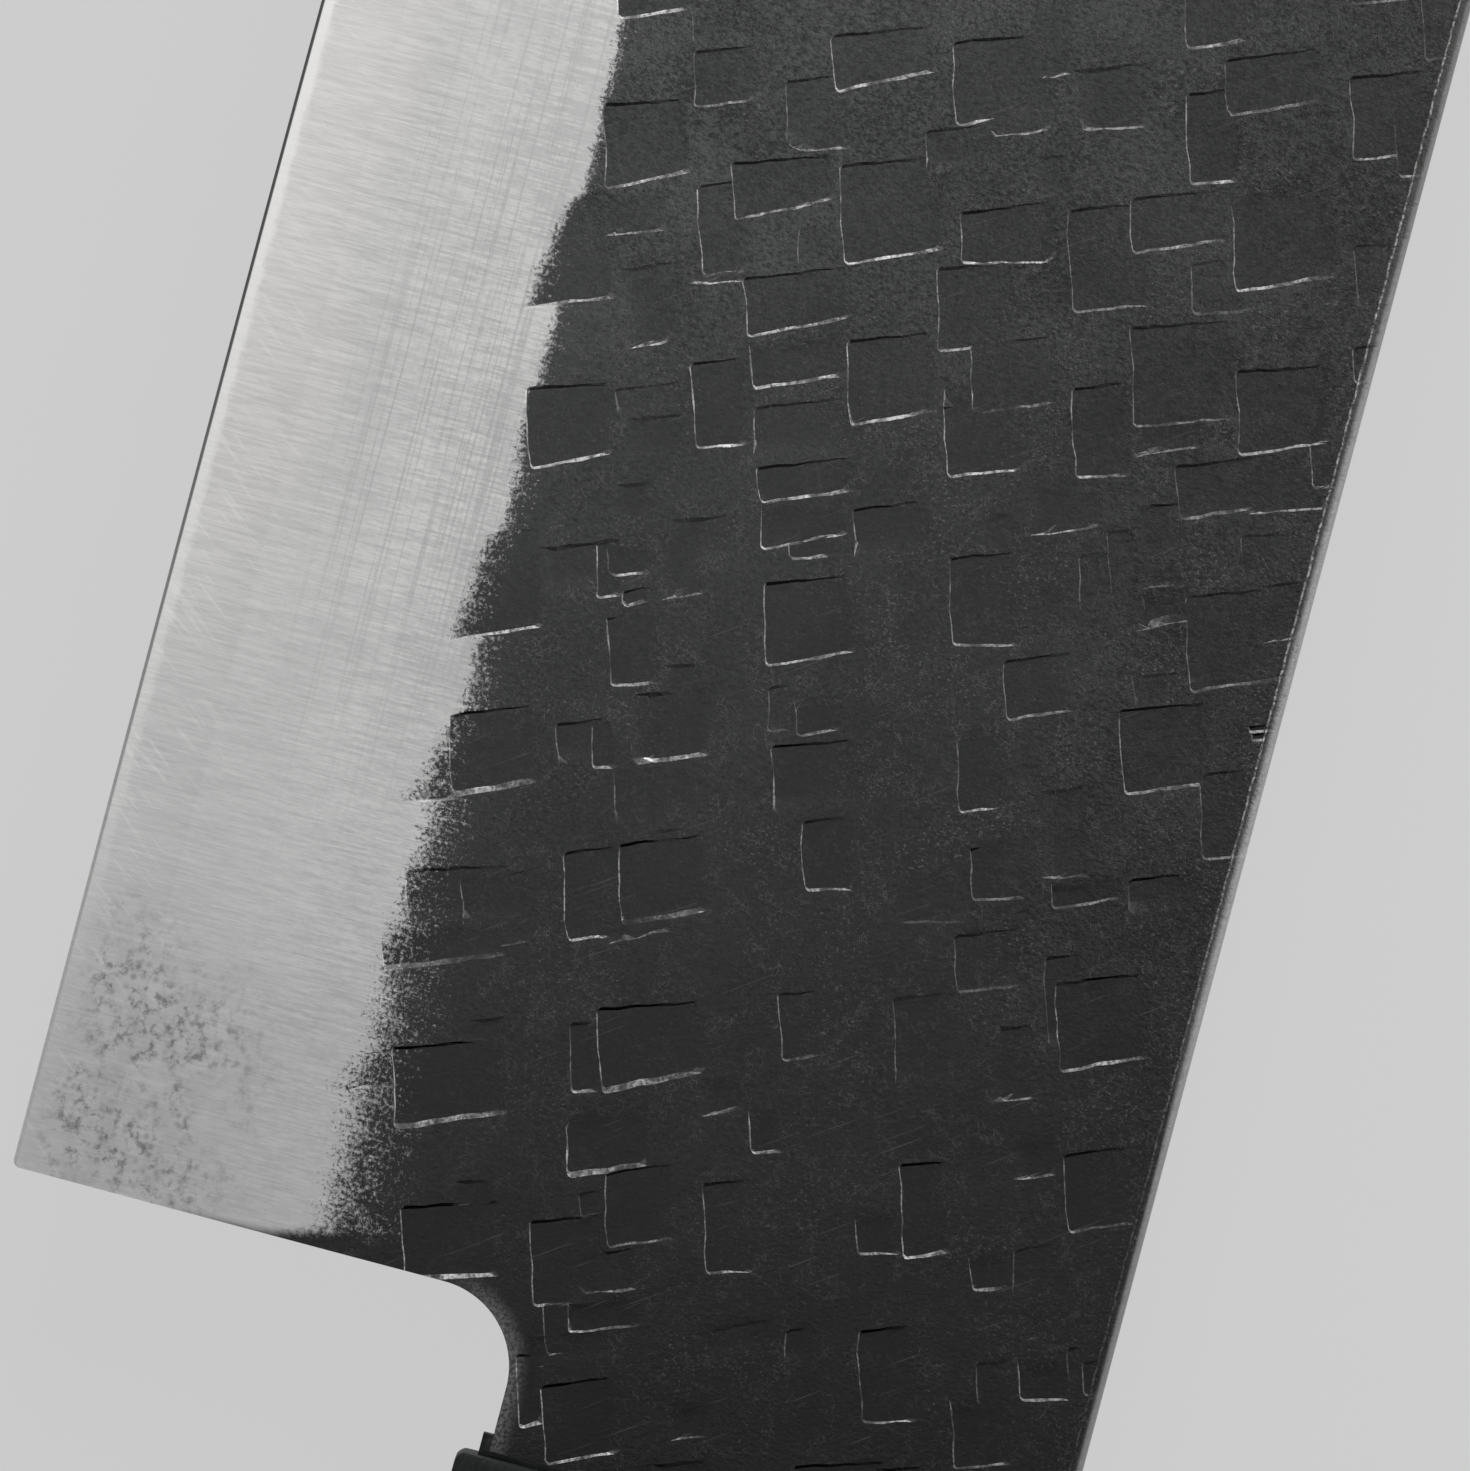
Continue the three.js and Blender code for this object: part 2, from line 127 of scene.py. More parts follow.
# Hammer marks, read in view millimetres from the frame's top left corner: left, top at the
# left, right, bottom at the left, in places the bottom at the right, and whether the mark is strong
# (S), middling (M) or faint (F). Small letters after that: no left wall (n), no top wall (t), no
# bottom wall (b), a wide bottom wall (w), a round lower right (r) or lower left (l) corner, or a
# wedge (d) that is shallow at its top and runs out under the ground bevel.
HAMMER_MARKS = """
25.1 -2 28.2 0.95 0.5 S; 28.25 0.4 31 2.2 Ftb; 28.25 2.2 31.05 4.5 4.2 Mr; 24.6 4.3 28.1 7.8 7.05 S
24.2 8 27.35 9.7 9.45 Mrnt; 28.45 7.65 30.5 11.35 11.1 S; 20.8 8.25 25 12.75 Sd
25.05 11.05 27.9 12.6 Mnb; 25.4 11.75 27.6 14.3 14.05 Mrn; 28 10 30.45 11.65 11.5 Mnt
15.9 29.6 18.7 32.85 Md; 13.2 43 16.1 44.6 Md; 33.9 1.5 38.2 3.9 3 S; 32 3.4 34.6 6.35 6.15 Ml
29.85 6.7 34 9.07 8.2 S; 34.2 6.8 38.4 10.94 10.3 S; 37.75 5.4 41 7.2 Mb; 38.8 1.8 43 5.3 4.5 S
41.7 0.2 43.7 3.4 3.15 Mnt; 39.7 3.4 43.1 5.65 5.4 Mrnt; 43.5 3 46.95 5.45 5.35 Mrln
39.1 8.7 43.1 10.85 10.75 Sr; 42 8.5 43.1 9.65 F; 41.95 6.5 43.6 8.2 Mnb
43.5 8.65 46.8 12.8 12.55 M; 30.35 11.35 34.7 13.8 13 S; 32.55 9.4 34.2 11 Fb
38.15 11 41.5 14.45 M; 34.5 14 38.1 17.45 16.8 S; 39.55 14 43 16.95 M
48.2 -1 50.9 2.2 1.75 M; 48.3 -1.5 50.9 0.75 F; 49.9 2.45 53.9 4.85 4.2 M
48.3 3.9 50.5 7.65 7.5 S; 55 -2 57.5 0.35 M; 57.9 -0.5 59.5 2.6 F; 55 3.2 58.2 6.65 6.3 S
56.85 5 58.2 7.35 M; 46.05 8.15 50.1 10.5 9.9 M; 50.15 7.75 54.4 12.07 11.35 St
48.5 10.75 51.6 12.95 Fr; 46.05 13.45 50.3 17.5 17.2 M; 50.35 15.15 54.1 18.67 18.1 S
55.2 10.1 57 12.8 Fb; 55.1 14.2 56.6 15.75 M; 21.45 15.85 25 19.2 18.5 S; 25.1 15.9 28 17.2 Fb
28.2 14.8 30.4 18.4 18.25 S; 25.4 17.15 28.1 19 Mnb; 24.9 19.85 26.8 21.5 Mnb
26.7 21.95 28.7 24.6 24.25 Mn; 27.1 21.3 29.95 23.2 Mnb; 17.2 21.9 22.1 26.3 Sd
21.9 22.4 25.6 24.3 Mnb; 24.3 22.2 25.3 24.5 M; 24.75 22.4 26.75 23.52 23.4 Mt
25.35 24.1 26.65 24.85 24.6 M; 24.75 24.6 26.85 28.07 27.9 Mt; 25 26.5 26.8 27.7 Snb
26.9 27.2 28.75 29 Mnb; 25.65 28.35 28.95 31.2 30.8 Swn; 22.7 29.5 24.9 31.3 Mb
24.1 29.5 25.1 31.4 M; 18.3 29.2 21.95 32.6 31.9 Sw; 30.6 13.95 34.5 15.95 15.35 St
30.7 16.6 34.7 18.9 Mb; 30.85 19.05 34.8 20.65 20.1 S; 31 20.6 34.5 22.55 21.85 St
32.1 21.8 34 22.95 22.75 Mt; 31.1 23.8 34.8 27.25 26.6 S; 34.75 20.75 37.7 23 Mb
38.45 15.9 41.9 19.5 19.2 Srt; 43.65 15.9 46 19.6 19.45 S; 44.95 17.2 46 18.8 F
39.55 21.1 41.75 22.6 Fnb; 41.7 19.7 45 21.95 21.65 Mrnt; 38.65 22.8 41.5 26.45 26.35 M
43.95 22.6 46 25.2 Fb; 31.3 28.05 32.4 29.9 F; 32.4 28.35 34.3 30.1 29.85 Mt; 31.45 30.45 34.9 33.3 Mb
45.9 17.3 49 18.75 18.3 Mnt; 47.9 19 52.2 21.3 20.6 M; 50.5 18.9 54.2 21 20.8 Mnt
53.4 18.1 54.5 20 M; 46.1 20.75 48.4 23 Mnb; 45.15 21.7 46.5 25.2 Fb; 46.2 22.5 48.2 24.1 23.9 Fnt
45.9 24.2 49.4 25.85 25.2 Snt; 48.3 24.3 52.4 28.35 27.7 M; 51.1 23.95 53.2 26.3 Mn
50.6 21.9 53 24 Fb; 50.9 29.65 51.9 29.95 St; 51 29.95 51.9 30.3 S
46.2 27.55 48.4 29 Fb; 45.6 29 49.2 32.5 31.95 S
16.6 35.5 21 38 Mb; 15.6 37.9 20.75 39.6 38.95 Mwt; 18.8 35.8 21.7 38 Mb
20 37.5 21.75 38.65 38.4 Fnt; 22.95 34.7 25.3 38.45 38.2 M; 24.35 36.4 27.5 38.6 37.95 Mnt
25.2 34.4 28.8 37.85 37.2 Sw; 25.05 31.4 28.9 34 Fbt; 26.4 33.85 28 34.9 Fnb
16 42.7 20.6 46.15 45.4 Sw; 18.9 41.6 20.95 43 Mnb; 24.35 41.15 28.7 44.6 43.7 Sw
23.2 41.75 24.4 44.65 44.45 M; 32.65 33.5 34.8 36.4 36.25 M; 38.95 29.5 41 33.2 Mt
42.2 32.3 44.4 35.9 35.75 Mn; 42.85 36 45.9 37.1 36.65 Mt; 42.55 39 44.4 42.9 Mb
43 40.1 46.7 43.8 43.1 S; 31.75 40.5 33.6 43.3 F; 36.3 35.6 39.5 37.7 37.6 Fnt
48.85 31.6 51 35.1 M; 45.95 35.8 48.4 37.4 Mb; 16.4 49.2 20.4 52.25 52 Sw; 18.4 48.2 20.1 49.2 Mn
23.05 45.2 26.5 48 47.5 Swt; 24.65 47.75 27.6 50.9 50.5 M; 23.65 48.65 24.6 49.7 F
21.6 49.85 24.8 53.3 52.95 M; 23.1 51.2 26.1 52.85 52.5 Mn; 23.15 52.85 26.1 54.4 54.1 St
22.15 53.1 23.25 55.35 M; 21.05 55.2 22.2 58.3 58 S; 22.1 56.4 25.1 59.75 59.25 S
27 57.2 29.05 58.75 58.6 Mnt; 28.65 48.25 30.6 51.9 51.85 M; 20.9 54.6 25.3 55.8 Fnb
28.3 54.1 31.7 55.5 Fnb; 32 54.2 33 55.7 Fb; 28.4 44 30.5 45.6 45.2 Mnt
30.55 45.2 32 47.1 47 Mt; 36.65 47.5 38.6 51.4 51 S; 34.85 49.5 36.8 51.2 51.15 Mt
41.2 46.4 43.2 48.1 47.9 Mnt; 43.35 47 46.2 50.25 M; 41.25 50.9 43.2 53 Fb
39.5 51.1 41.2 52.7 52.55 Mt; 34.95 54.25 37.3 58 57.95 S; 38.75 57 41.2 59.9 59.7 Mt
39.75 55.55 41.4 58 Fb; 41.5 55.4 43.7 57.2 57.05 Mt; 41.5 53.6 42.7 54.65 Fnt
44.1 55.5 45 56.95 F; 43.5 54.9 44.2 56.6 Fb; 36.1 23.4 37.4 27.4 Fnb; 40.9 26.9 43.9 29.4 M
39.5 33.9 41.9 36.8 Mt; 38.9 38.1 41.8 40.5 F; 36.4 40.7 39.3 44.4 Fb; 40 42 42.3 45 Mn
"""
MARK_DEPTH = {"S": 0.09, "M": 0.068, "F": 0.042}
MARK_DEPTH_SPREAD = (0.88, 1.12)
# How worn each kind of mark is; this also scales the painted glint on its walls that face the light.
MARK_WEAR = {"S": (0.8, 1.0), "M": (0.35, 0.75), "F": (0.1, 0.35)}
MARK_WALLS = {"top": (0.13, 0.12), "right": (0.4, 0.4), "bottom": (0.115, 0.07), "left": (0.05, 0.05)}
WIDE_BOTTOM = (0.25, 0.14)
SOFT_WALL = 0.8
SOFT_LIMIT = 0.35
WEDGE_TOP_SHARE = 0.4
WEDGE_DEPTH = 1.2
MARK_RIGHT_FADE = 0.55
MARK_TOP_SHARE = 0.8
MARK_TOP_RISE = (0.06, 0.12)
MARK_BOTTOM_RISE = (0.06, 0.15)
MARK_LEAN = 0.05
MARK_CORNER = 0.22
MARK_ROUND_CORNER = 0.75
MARK_SHARP_CORNER = 0.03
MARK_CORNER_LIMIT = 0.36
MARK_INNER_CORNER = 0.5
MARK_ARC_STEPS = 4
MARK_SIDE_STEP = 0.7
MARK_WARP = 0.045
WARP_ROOM = 1.5
WARP_NECK_ROOM = 1
FACE_SWELL = 0.016
FULL_SWELL = 2.7
GRIND_ALLOWANCE = 0.02

# Waves of an uneven face: radians per millimetre along X and along Y, start and share
SWELL_WAVES = (0.83, 0.41, 0.6, 1), (0.37, -0.92, 2.1, 1), (1.37, 1.21, 4, 0.7)
WARP_X_WAVES = (2.1, 1.3, 0, 1), (-1.9, 4.7, 1, 0.6)
WARP_Y_WAVES = (-2.3, 1.7, 2, 1), (5.1, 1.1, 0, 0.6)

# Steep mark walls that face the light get a painted glint, and those that face away get painted shade.
# Walls are steep between these tilts in degrees. A wall that faces sideways counts for less.
WALL_TILT = (6, 24)
LIT_SIDE = 0.58
SHADED_SIDE = 0.3

# Marks out of the photograph's view are drawn at random, on cells of this size
CELL = (3.35, 3.3)
CELL_FILLED = 0.9
CELL_SHIFT = (0.6, 0.8)
RANDOM_WIDTH = (2.0, 4.3)
RANDOM_HEIGHT = (1.8, 3.8)
RANDOM_DEPTH_SPREAD = (0.85, 1.15)
RANDOM_STRENGTHS = "SSSMMMMFF"
RANDOM_KINDS = ["", "", "", "r", "n", "t", "b", "nt", "nb", "w"]
RANDOM_OVERHANG = 2
RANDOM_EDGE_ROOM = BEVEL_WIDTH_TIP / 2
ABOVE_VIEW = (-150, -2.5)
BELOW_VIEW = (60.5, 70)
WHOLE_FACE = (-150, 70)
LEFT_SEED = 41
RIGHT_SEED = 73

# The frame's point, in metres, where the blade's own X, Y and Z are nought
ferrule_low, ferrule_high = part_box("ferrule")
core_low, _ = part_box("core_steel")
ORIGIN = np.array([ferrule_high.x, core_low.y, (ferrule_low.z + ferrule_high.z) / 2])


def to_frame(points):
    """Blade millimetres as metres in the shared frame."""
    return np.asarray(points, float) * MM + ORIGIN


def view_to_blade(a, b):
    """A place in view millimetres, right and down from the frame's corner, on the blade."""
    right, up = a - VIEW_WIDTH / 2, VIEW_HEIGHT / 2 - b
    x = VIEW_CENTRE[0] + VIEW_SINE * right + VIEW_COSINE * up
    y = VIEW_CENTRE[1] - VIEW_COSINE * right + VIEW_SINE * up
    return x, y


def blade_to_view(x, y):
    """The inverse of view_to_blade."""
    dx, dy = x - VIEW_CENTRE[0], y - VIEW_CENTRE[1]
    a = VIEW_WIDTH / 2 + VIEW_SINE * dx - VIEW_COSINE * dy
    return a, VIEW_HEIGHT / 2 - VIEW_COSINE * dx - VIEW_SINE * dy


def view_direction(right, up, toward):
    """A direction given along the photograph's right and up and towards the camera."""
    x = VIEW_SINE * right + VIEW_COSINE * up
    return Vector((x, -VIEW_COSINE * right + VIEW_SINE * up, toward))


VIEW_RIGHT, VIEW_UP = view_direction(1, 0, 0), view_direction(0, 1, 0)
VIEW_MIDDLE = Vector(to_frame([*VIEW_CENTRE, 0]))


# Blade surfaces, as functions of numpy arrays

def spine_y(x):
    along = np.clip((x - SPINE_DROP_X) / (TIP_X - SPINE_DROP_X), 0, None)
    return SPINE_DROP * along**SPINE_DROP_POWER


def edge_y(x):
    relief = HEEL_RELIEF * (np.clip(EDGE_FLAT_X - x, 0, None) / (EDGE_FLAT_X - HEEL_X)) ** 2
    rise = np.clip(x - EDGE_FLAT_X, 0, None) / (TIP_X - EDGE_FLAT_X)
    return EDGE_BASE - relief - TIP_RISE * rise**TIP_RISE_POWER


def face_half(x, y):
    return (SPINE_THICKNESS - TIP_TAPER * x / TIP_X - FACE_TAPER * y / HEEL_HEIGHT) / 2


def bevel_slope(x):
    width = BEVEL_WIDTH_HEEL + (x - HEEL_X) / (TIP_X - HEEL_X) * (BEVEL_WIDTH_TIP - BEVEL_WIDTH_HEEL)
    return (face_half(x, edge_y(x) - width) - EDGE_LAND / 2) / width


def bevel_half(x, y):
    return EDGE_LAND / 2 + bevel_slope(x) * (edge_y(x) - y)


def core_half(x):
    along = (x + TANG_LENGTH) / (TIP_X + TANG_LENGTH)
    return (CORE_TANG + along * (CORE_TIP - CORE_TANG)) / 2


def weld_y(x):
    """Where a cladding's inner face comes out on the bevel."""
    return edge_y(x) - (core_half(x) + WELD_GAP - EDGE_LAND / 2) / bevel_slope(x)


def tang_half(x):
    along = -x / TANG_LENGTH
    return (TANG_THICKNESS[0] + along * (TANG_THICKNESS[1] - TANG_THICKNESS[0])) / 2


def spine_round(x):
    return np.minimum(SPINE_ROUND, (edge_y(x) - spine_y(x)) / 4)


def from_notch(x, y):
    """Distance from the heel's straight line, the fillet or the neck's underside."""
    over, under = x - (HEEL_X - HEEL_FILLET), NECK_HEIGHT + HEEL_FILLET - y
    round_room = np.hypot(np.maximum(over, 0), np.maximum(under, 0)) - HEEL_FILLET
    return np.where((over > 0) & (under > 0), round_room, np.maximum(x - HEEL_X, NECK_HEIGHT - y))


# Outlines

def cladding_end_x():
    """Where the weld line meets the spine, just short of the tip."""
    stations = np.linspace(SPINE_DROP_X, TIP_X, END_SEARCH_STEPS)
    return float(stations[np.argmax(weld_y(stations) < spine_y(stations) + EDGE_LAND)])


def even_steps(start, end):
    return np.linspace(start, end, max(2, int(abs(end - start) / SIDE_STEP) + 1))


def curve(x, y_of):
    return np.column_stack([x, y_of(x)])


def arc(x, y, radius, angles):
    return np.column_stack([x + radius * np.cos(angles), y + radius * np.sin(angles)])


def tang_outline():
    """From the neck's underside, round the tang's end, to the spine at the ferrule."""
    front, end = TANG_HEIGHT[0] / 2, TANG_HEIGHT[1] / 2
    return np.array([
        [0, NECK_HEIGHT], [0, HANDLE_Y + front], [-TANG_STEP, HANDLE_Y + front],
        [-TANG_LENGTH, HANDLE_Y + end], [-TANG_LENGTH, HANDLE_Y - end],
        [-TANG_STEP, HANDLE_Y - front], [0, HANDLE_Y - front],
    ])


def blade_outline(end_x, lower_line, heel_top):
    """The spine, a line back from its end to the heel, the heel, its fillet and the tang."""
    fillet_y = NECK_HEIGHT + HEEL_FILLET
    heel_y = even_steps(heel_top, fillet_y)[1:-1]
    angles = np.linspace(0, -math.pi / 2, FILLET_STEPS)
    return np.vstack([
        curve(even_steps(0, end_x), spine_y),
        lower_line,
        np.column_stack([np.full(len(heel_y), HEEL_X), heel_y]),
        arc(HEEL_X - HEEL_FILLET, fillet_y, HEEL_FILLET, angles),
        tang_outline(),
    ])


def cladding_outline():
    end_x = cladding_end_x()
    weld_line = curve(even_steps(end_x, HEEL_X)[1:], weld_y)
    return blade_outline(end_x, weld_line, float(weld_y(HEEL_X)))


def core_outline():
    edge = curve(even_steps(TIP_X, HEEL_X + HEEL_CORNER), edge_y)
    angles = np.linspace(math.pi / 2, math.pi, CORNER_STEPS)[1:]
    corner_y = float(edge_y(HEEL_X)) - HEEL_CORNER
    corner = arc(HEEL_X + HEEL_CORNER, corner_y, HEEL_CORNER, angles)
    return blade_outline(TIP_X, np.vstack([edge, corner]), corner_y)


# Hammer marks

def unit(vectors):
    return vectors / np.linalg.norm(vectors, axis=1)[:, None]


class Mark:
    """One blow of a square hammer: a convex outline, an inner outline at the foot of its walls, and
    a floor that is deepest at its left and bottom."""

    def __init__(self, left, top, right, bottom, low_right, depth, wear, kind, rng):
        self.left, self.top = left, top
        self.width, self.height = right - left, bottom - top
        self.wear = wear
        self.depth = depth * (WEDGE_DEPTH if "d" in kind else 1)
        self.top_share = WEDGE_TOP_SHARE if "d" in kind else MARK_TOP_SHARE
        walls = self.walls = mark_walls(self.width, self.height, kind)
        lean = MARK_LEAN * self.height
        usual = bottom - rng.uniform(*MARK_BOTTOM_RISE) * self.width
        low_right = usual if low_right is None else low_right
        high_right = top - rng.uniform(*MARK_TOP_RISE) * self.width
        quad = [(left, top), (right, high_right), (right + lean, low_right), (left + lean, bottom)]
        radii = corner_radii(self.width, self.height, kind)
        self.outer = rounded(np.array(quad), radii)
        above = MARK_LEAN * walls["top"][0]
        below = lean - MARK_LEAN * walls["bottom"][0]
        inner = [
            (left + above + walls["left"][0], top + walls["top"][0]),
            (right + above - walls["right"][0], high_right + walls["top"][1]),
            (right + below - walls["right"][1], low_right - walls["bottom"][1]),
            (left + below + walls["left"][1], bottom - walls["bottom"][0]),
        ]
        self.inner = rounded(np.array(inner), [MARK_INNER_CORNER * radius for radius in radii])

    def sunk(self, a, b):
        """Depth below the face at places in view millimetres."""
        across = np.clip((a - self.left) / self.width, 0, 1)
        down = np.clip((b - self.top) / self.height, 0, 1)
        ring = self.outer
        ahead = unit(np.roll(ring, -1, axis=0) - ring)
        inside = np.full(len(a), np.inf)
        for (px, py), (dx, dy) in zip(ring, ahead):
            room = dx * (b - py) - dy * (a - px)
            inside = np.minimum(inside, room / wall_width(self.walls, -dy, dx, across))
        floor = (1 - MARK_RIGHT_FADE * across) * (self.top_share + (1 - self.top_share) * down)
        return self.depth * floor * np.clip(inside, 0, 1)


def mark_walls(width, height, kind):
    """Widths of a mark's four walls at their starts and ends. A wall that is left out is a slow slope."""
    walls = dict(MARK_WALLS)
    walls["right"] = tuple(min(share, SOFT_LIMIT * width) for share in walls["right"])
    if "w" in kind:
        walls["bottom"] = WIDE_BOTTOM
    for letter, side, size in (("n", "left", width), ("t", "top", height), ("b", "bottom", height)):
        if letter in kind:
            walls[side] = (min(SOFT_WALL, SOFT_LIMIT * size),) * 2
    return walls


def wall_width(walls, right, down, across):
    """Width of the wall whose foot lies in the given direction, blended between the four sides."""
    width = 0
    for side, share in (("left", right), ("right", -right), ("top", down), ("bottom", -down)):
        start, end = walls[side]
        width = width + max(share, 0) ** 2 * (start + (end - start) * across)
    return width


def rounded(quad, radii):
    """The quadrilateral with rounded corners and its sides in short steps."""
    ahead = unit(np.roll(quad, -1, axis=0) - quad)
    inward = np.column_stack([-ahead[:, 1], ahead[:, 0]])
    points = []
    for i, radius in enumerate(radii):
        centre = quad[i] + np.linalg.solve(inward[[i - 1, i]], np.array([radius, radius]))
        start = math.atan2(-inward[i - 1][1], -inward[i - 1][0])
        end = math.atan2(-inward[i][1], -inward[i][0])
        turn = (end - start) % (2 * math.pi)
        for step in range(MARK_ARC_STEPS + 1):
            angle = start + turn * step / MARK_ARC_STEPS
            points.append(centre + radius * np.array([math.cos(angle), math.sin(angle)]))
    stepped = []
    for here, there in zip(points, points[1:] + points[:1]):
        pieces = max(1, round(np.linalg.norm(there - here) / MARK_SIDE_STEP))
        stepped += [here + (there - here) * k / pieces for k in range(pieces)]
    return np.array(stepped)


def corner_radii(width, height, kind):
    """Corner radii from the upper left, clockwise in the view. Corners on a slow top are sharp."""
    limit = MARK_CORNER_LIMIT * min(width, height)
    top = MARK_SHARP_CORNER if "t" in kind else MARK_CORNER
    right, left = (MARK_ROUND_CORNER if letter in kind else MARK_CORNER for letter in "rl")
    return [min(radius, limit) for radius in (top, top, right, left)]


def read_marks(rng):
    """The marks that the photograph shows."""
    marks = []
    for row in HAMMER_MARKS.strip().replace("\n", ";").split(";"):
        *numbers, strength = row.split()
        left, top, right, bottom, *rest = map(float, numbers)
        low_right = rest[0] if rest else None
        depth = MARK_DEPTH[strength[0]] * rng.uniform(*MARK_DEPTH_SPREAD)
        wear = rng.uniform(*MARK_WEAR[strength[0]])
        marks.append(Mark(left, top, right, bottom, low_right, depth, wear, strength[1:], rng))
    return marks


def random_marks(rng, from_b, to_b):
    """Marks of the same kind in the band of the view between two heights."""
    marks = []
    slant = math.tan(VIEW_TURN)
    rows = int((to_b - from_b) / CELL[1])
    columns = int((NECK_HEIGHT + HEEL_HEIGHT) / CELL[0])
    for row in range(rows):
        for column in range(columns):
            filled = rng.random() < CELL_FILLED
            top = from_b + row * CELL[1] + rng.uniform(-CELL_SHIFT[1], CELL_SHIFT[1])
            left = VIEW_WIDTH / 2 + (column - columns / 2) * CELL[0]
            left += rng.uniform(-CELL_SHIFT[0], CELL_SHIFT[0])
            left -= slant * (top - VIEW_HEIGHT / 2)
            width, height = rng.uniform(*RANDOM_WIDTH), rng.uniform(*RANDOM_HEIGHT)
            strength = rng.choice(RANDOM_STRENGTHS)
            depth = MARK_DEPTH[strength] * rng.uniform(*RANDOM_DEPTH_SPREAD)
            wear = rng.uniform(*MARK_WEAR[strength])
            kind = rng.choice(RANDOM_KINDS)
            x, y = view_to_blade(left + width / 2, top + height / 2)
            on_blade = -RANDOM_OVERHANG < x < TIP_X
            on_face = spine_y(x) - RANDOM_OVERHANG < y < edge_y(x) - RANDOM_EDGE_ROOM
            if filled and on_blade and on_face:
                right, bottom = left + width, top + height
                marks.append(Mark(left, top, right, bottom, None, depth, wear, kind, rng))
    return marks


def deepest(marks, x, y):
    """Depth below the face at places on the blade, and the wear of the deepest mark there."""
    a, b = blade_to_view(x, y)
    sunk, wear = np.zeros(len(x)), np.zeros(len(x))
    for mark in marks:
        low, high = mark.outer.min(0), mark.outer.max(0)
        near = np.where((a > low[0]) & (a < high[0]) & (b > low[1]) & (b < high[1]))[0]
        depth = mark.sunk(a[near], b[near])
        deeper = depth > sunk[near]
        sunk[near[deeper]] = depth[deeper]
        wear[near[deeper]] = mark.wear
    return sunk, wear


def waves(x, y, rows):
    return sum(share * np.sin(by_x * x + by_y * y + start) for by_x, by_y, start, share in rows)


def swell(x, y):
    """Slow unevenness of the forged face."""
    return FACE_SWELL * waves(x, y, SWELL_WAVES) / FULL_SWELL


def warp(x, y):
    """Sideways wander of the marks' sides, none at the outline."""
    room = np.minimum(y - spine_y(x) - SPINE_ROUND, weld_y(x) - y)
    room = np.minimum(room, np.where(y > NECK_HEIGHT - WARP_NECK_ROOM, x - HEEL_X, x))
    ease = MARK_WARP * np.clip(room / WARP_ROOM, 0, 1)
    return ease * waves(x, y, WARP_X_WAVES), ease * waves(x, y, WARP_Y_WAVES)


# Meshes

def delaunay(points, edges, ring_size, merge_within):
    """Points, the triangles inside the ring of the first points, and where each point came from."""
    ring = [list(range(ring_size))]
    found = delaunay_2d_cdt([Vector(p) for p in points], edges, ring, WHOLE_HULL, merge_within, True)
    places, _, faces, origins, _, owners = found
    return places, [face for face, owner in zip(faces, owners) if owner], origins


def triangulate(outline, loops, paths, fill):
    """Points and triangles of the outline's inside, with every loop and path kept as edges."""
    points, edges, count = [outline], [], len(outline)
    for line, last in [(loop, len(loop)) for loop in loops] + [(path, len(path) - 1) for path in paths]:
        edges += [(count + i, count + (i + 1) % len(line)) for i in range(last)]
        points.append(line)
        count += len(line)
    points.append(fill)
    found, inside, _ = delaunay(np.vstack(points), edges, len(outline), MERGE_WITHIN)
    used, fresh = np.unique(inside, return_inverse=True)
    places, triangles = np.array([tuple(p) for p in found])[used], fresh.reshape(-1, 3)
    a, b, c = places[triangles].transpose(1, 2, 0)
    area = (b[0] - a[0]) * (c[1] - a[1]) - (b[1] - a[1]) * (c[0] - a[0])
    triangles[area < 0] = triangles[area < 0][:, ::-1]
    return places, triangles


def border(triangles):
    """The outline of a triangulated sheet, as directed edges from vertex to vertex."""
    sides = np.vstack([triangles[:, [0, 1]], triangles[:, [1, 2]], triangles[:, [2, 0]]])
    present = set(map(tuple, sides.tolist()))
    return [(a, b) for a, b in present if (b, a) not in present]


def hex_points(step, keep):
    """A field of points over the blade, at the places that keep() accepts."""
    points = []
    for number, y in enumerate(np.arange(0, EDGE_BASE, step * math.sqrt(3) / 2)):
        x = np.arange((number % 2) * step / 2, TIP_X, step)
        points.append(np.column_stack([x, np.full(len(x), y)]))
    points = np.vstack(points)
    return points[keep(*points.T)]


def off_outline(x, y, room):
    """True at places of the blade that lie at least that far inside its outline."""
    inside = (y > spine_y(x) + room) & (y < weld_y(x) - room) & (x > room)
    notch = (x < HEEL_X + room) & (y > NECK_HEIGHT - room)
    return inside & ~notch


def put_in_scene(name, data):
    """A new object."""
    thing = bpy.data.objects.new(name, data)
    bpy.context.scene.collection.objects.link(thing)
    return thing


def shade(mesh, sharp_angle):
    mesh.shade_smooth()
    mesh.set_sharp_from_angle(angle=math.radians(sharp_angle))


def write_mesh(name, points, faces, of_points, of_faces, material, sharp_angle, mirrored=False):
    """A mesh object in the shared frame, with named values of its points and faces."""
    if mirrored:
        points = points * np.array([1, 1, -1])
        faces = [face[::-1] for face in faces]
    mesh = bpy.data.meshes.new(name)
    mesh.from_pydata(to_frame(points).tolist(), [], faces)
    for domain, layers in (("POINT", of_points), ("FACE", of_faces)):
        for label, values in layers.items():
            layer = mesh.attributes.new(label, "FLOAT", domain)
            layer.data.foreach_set("value", np.asarray(values, np.float32))
    mesh.materials.append(material)
    shade(mesh, sharp_angle)
    return put_in_scene(name, mesh)


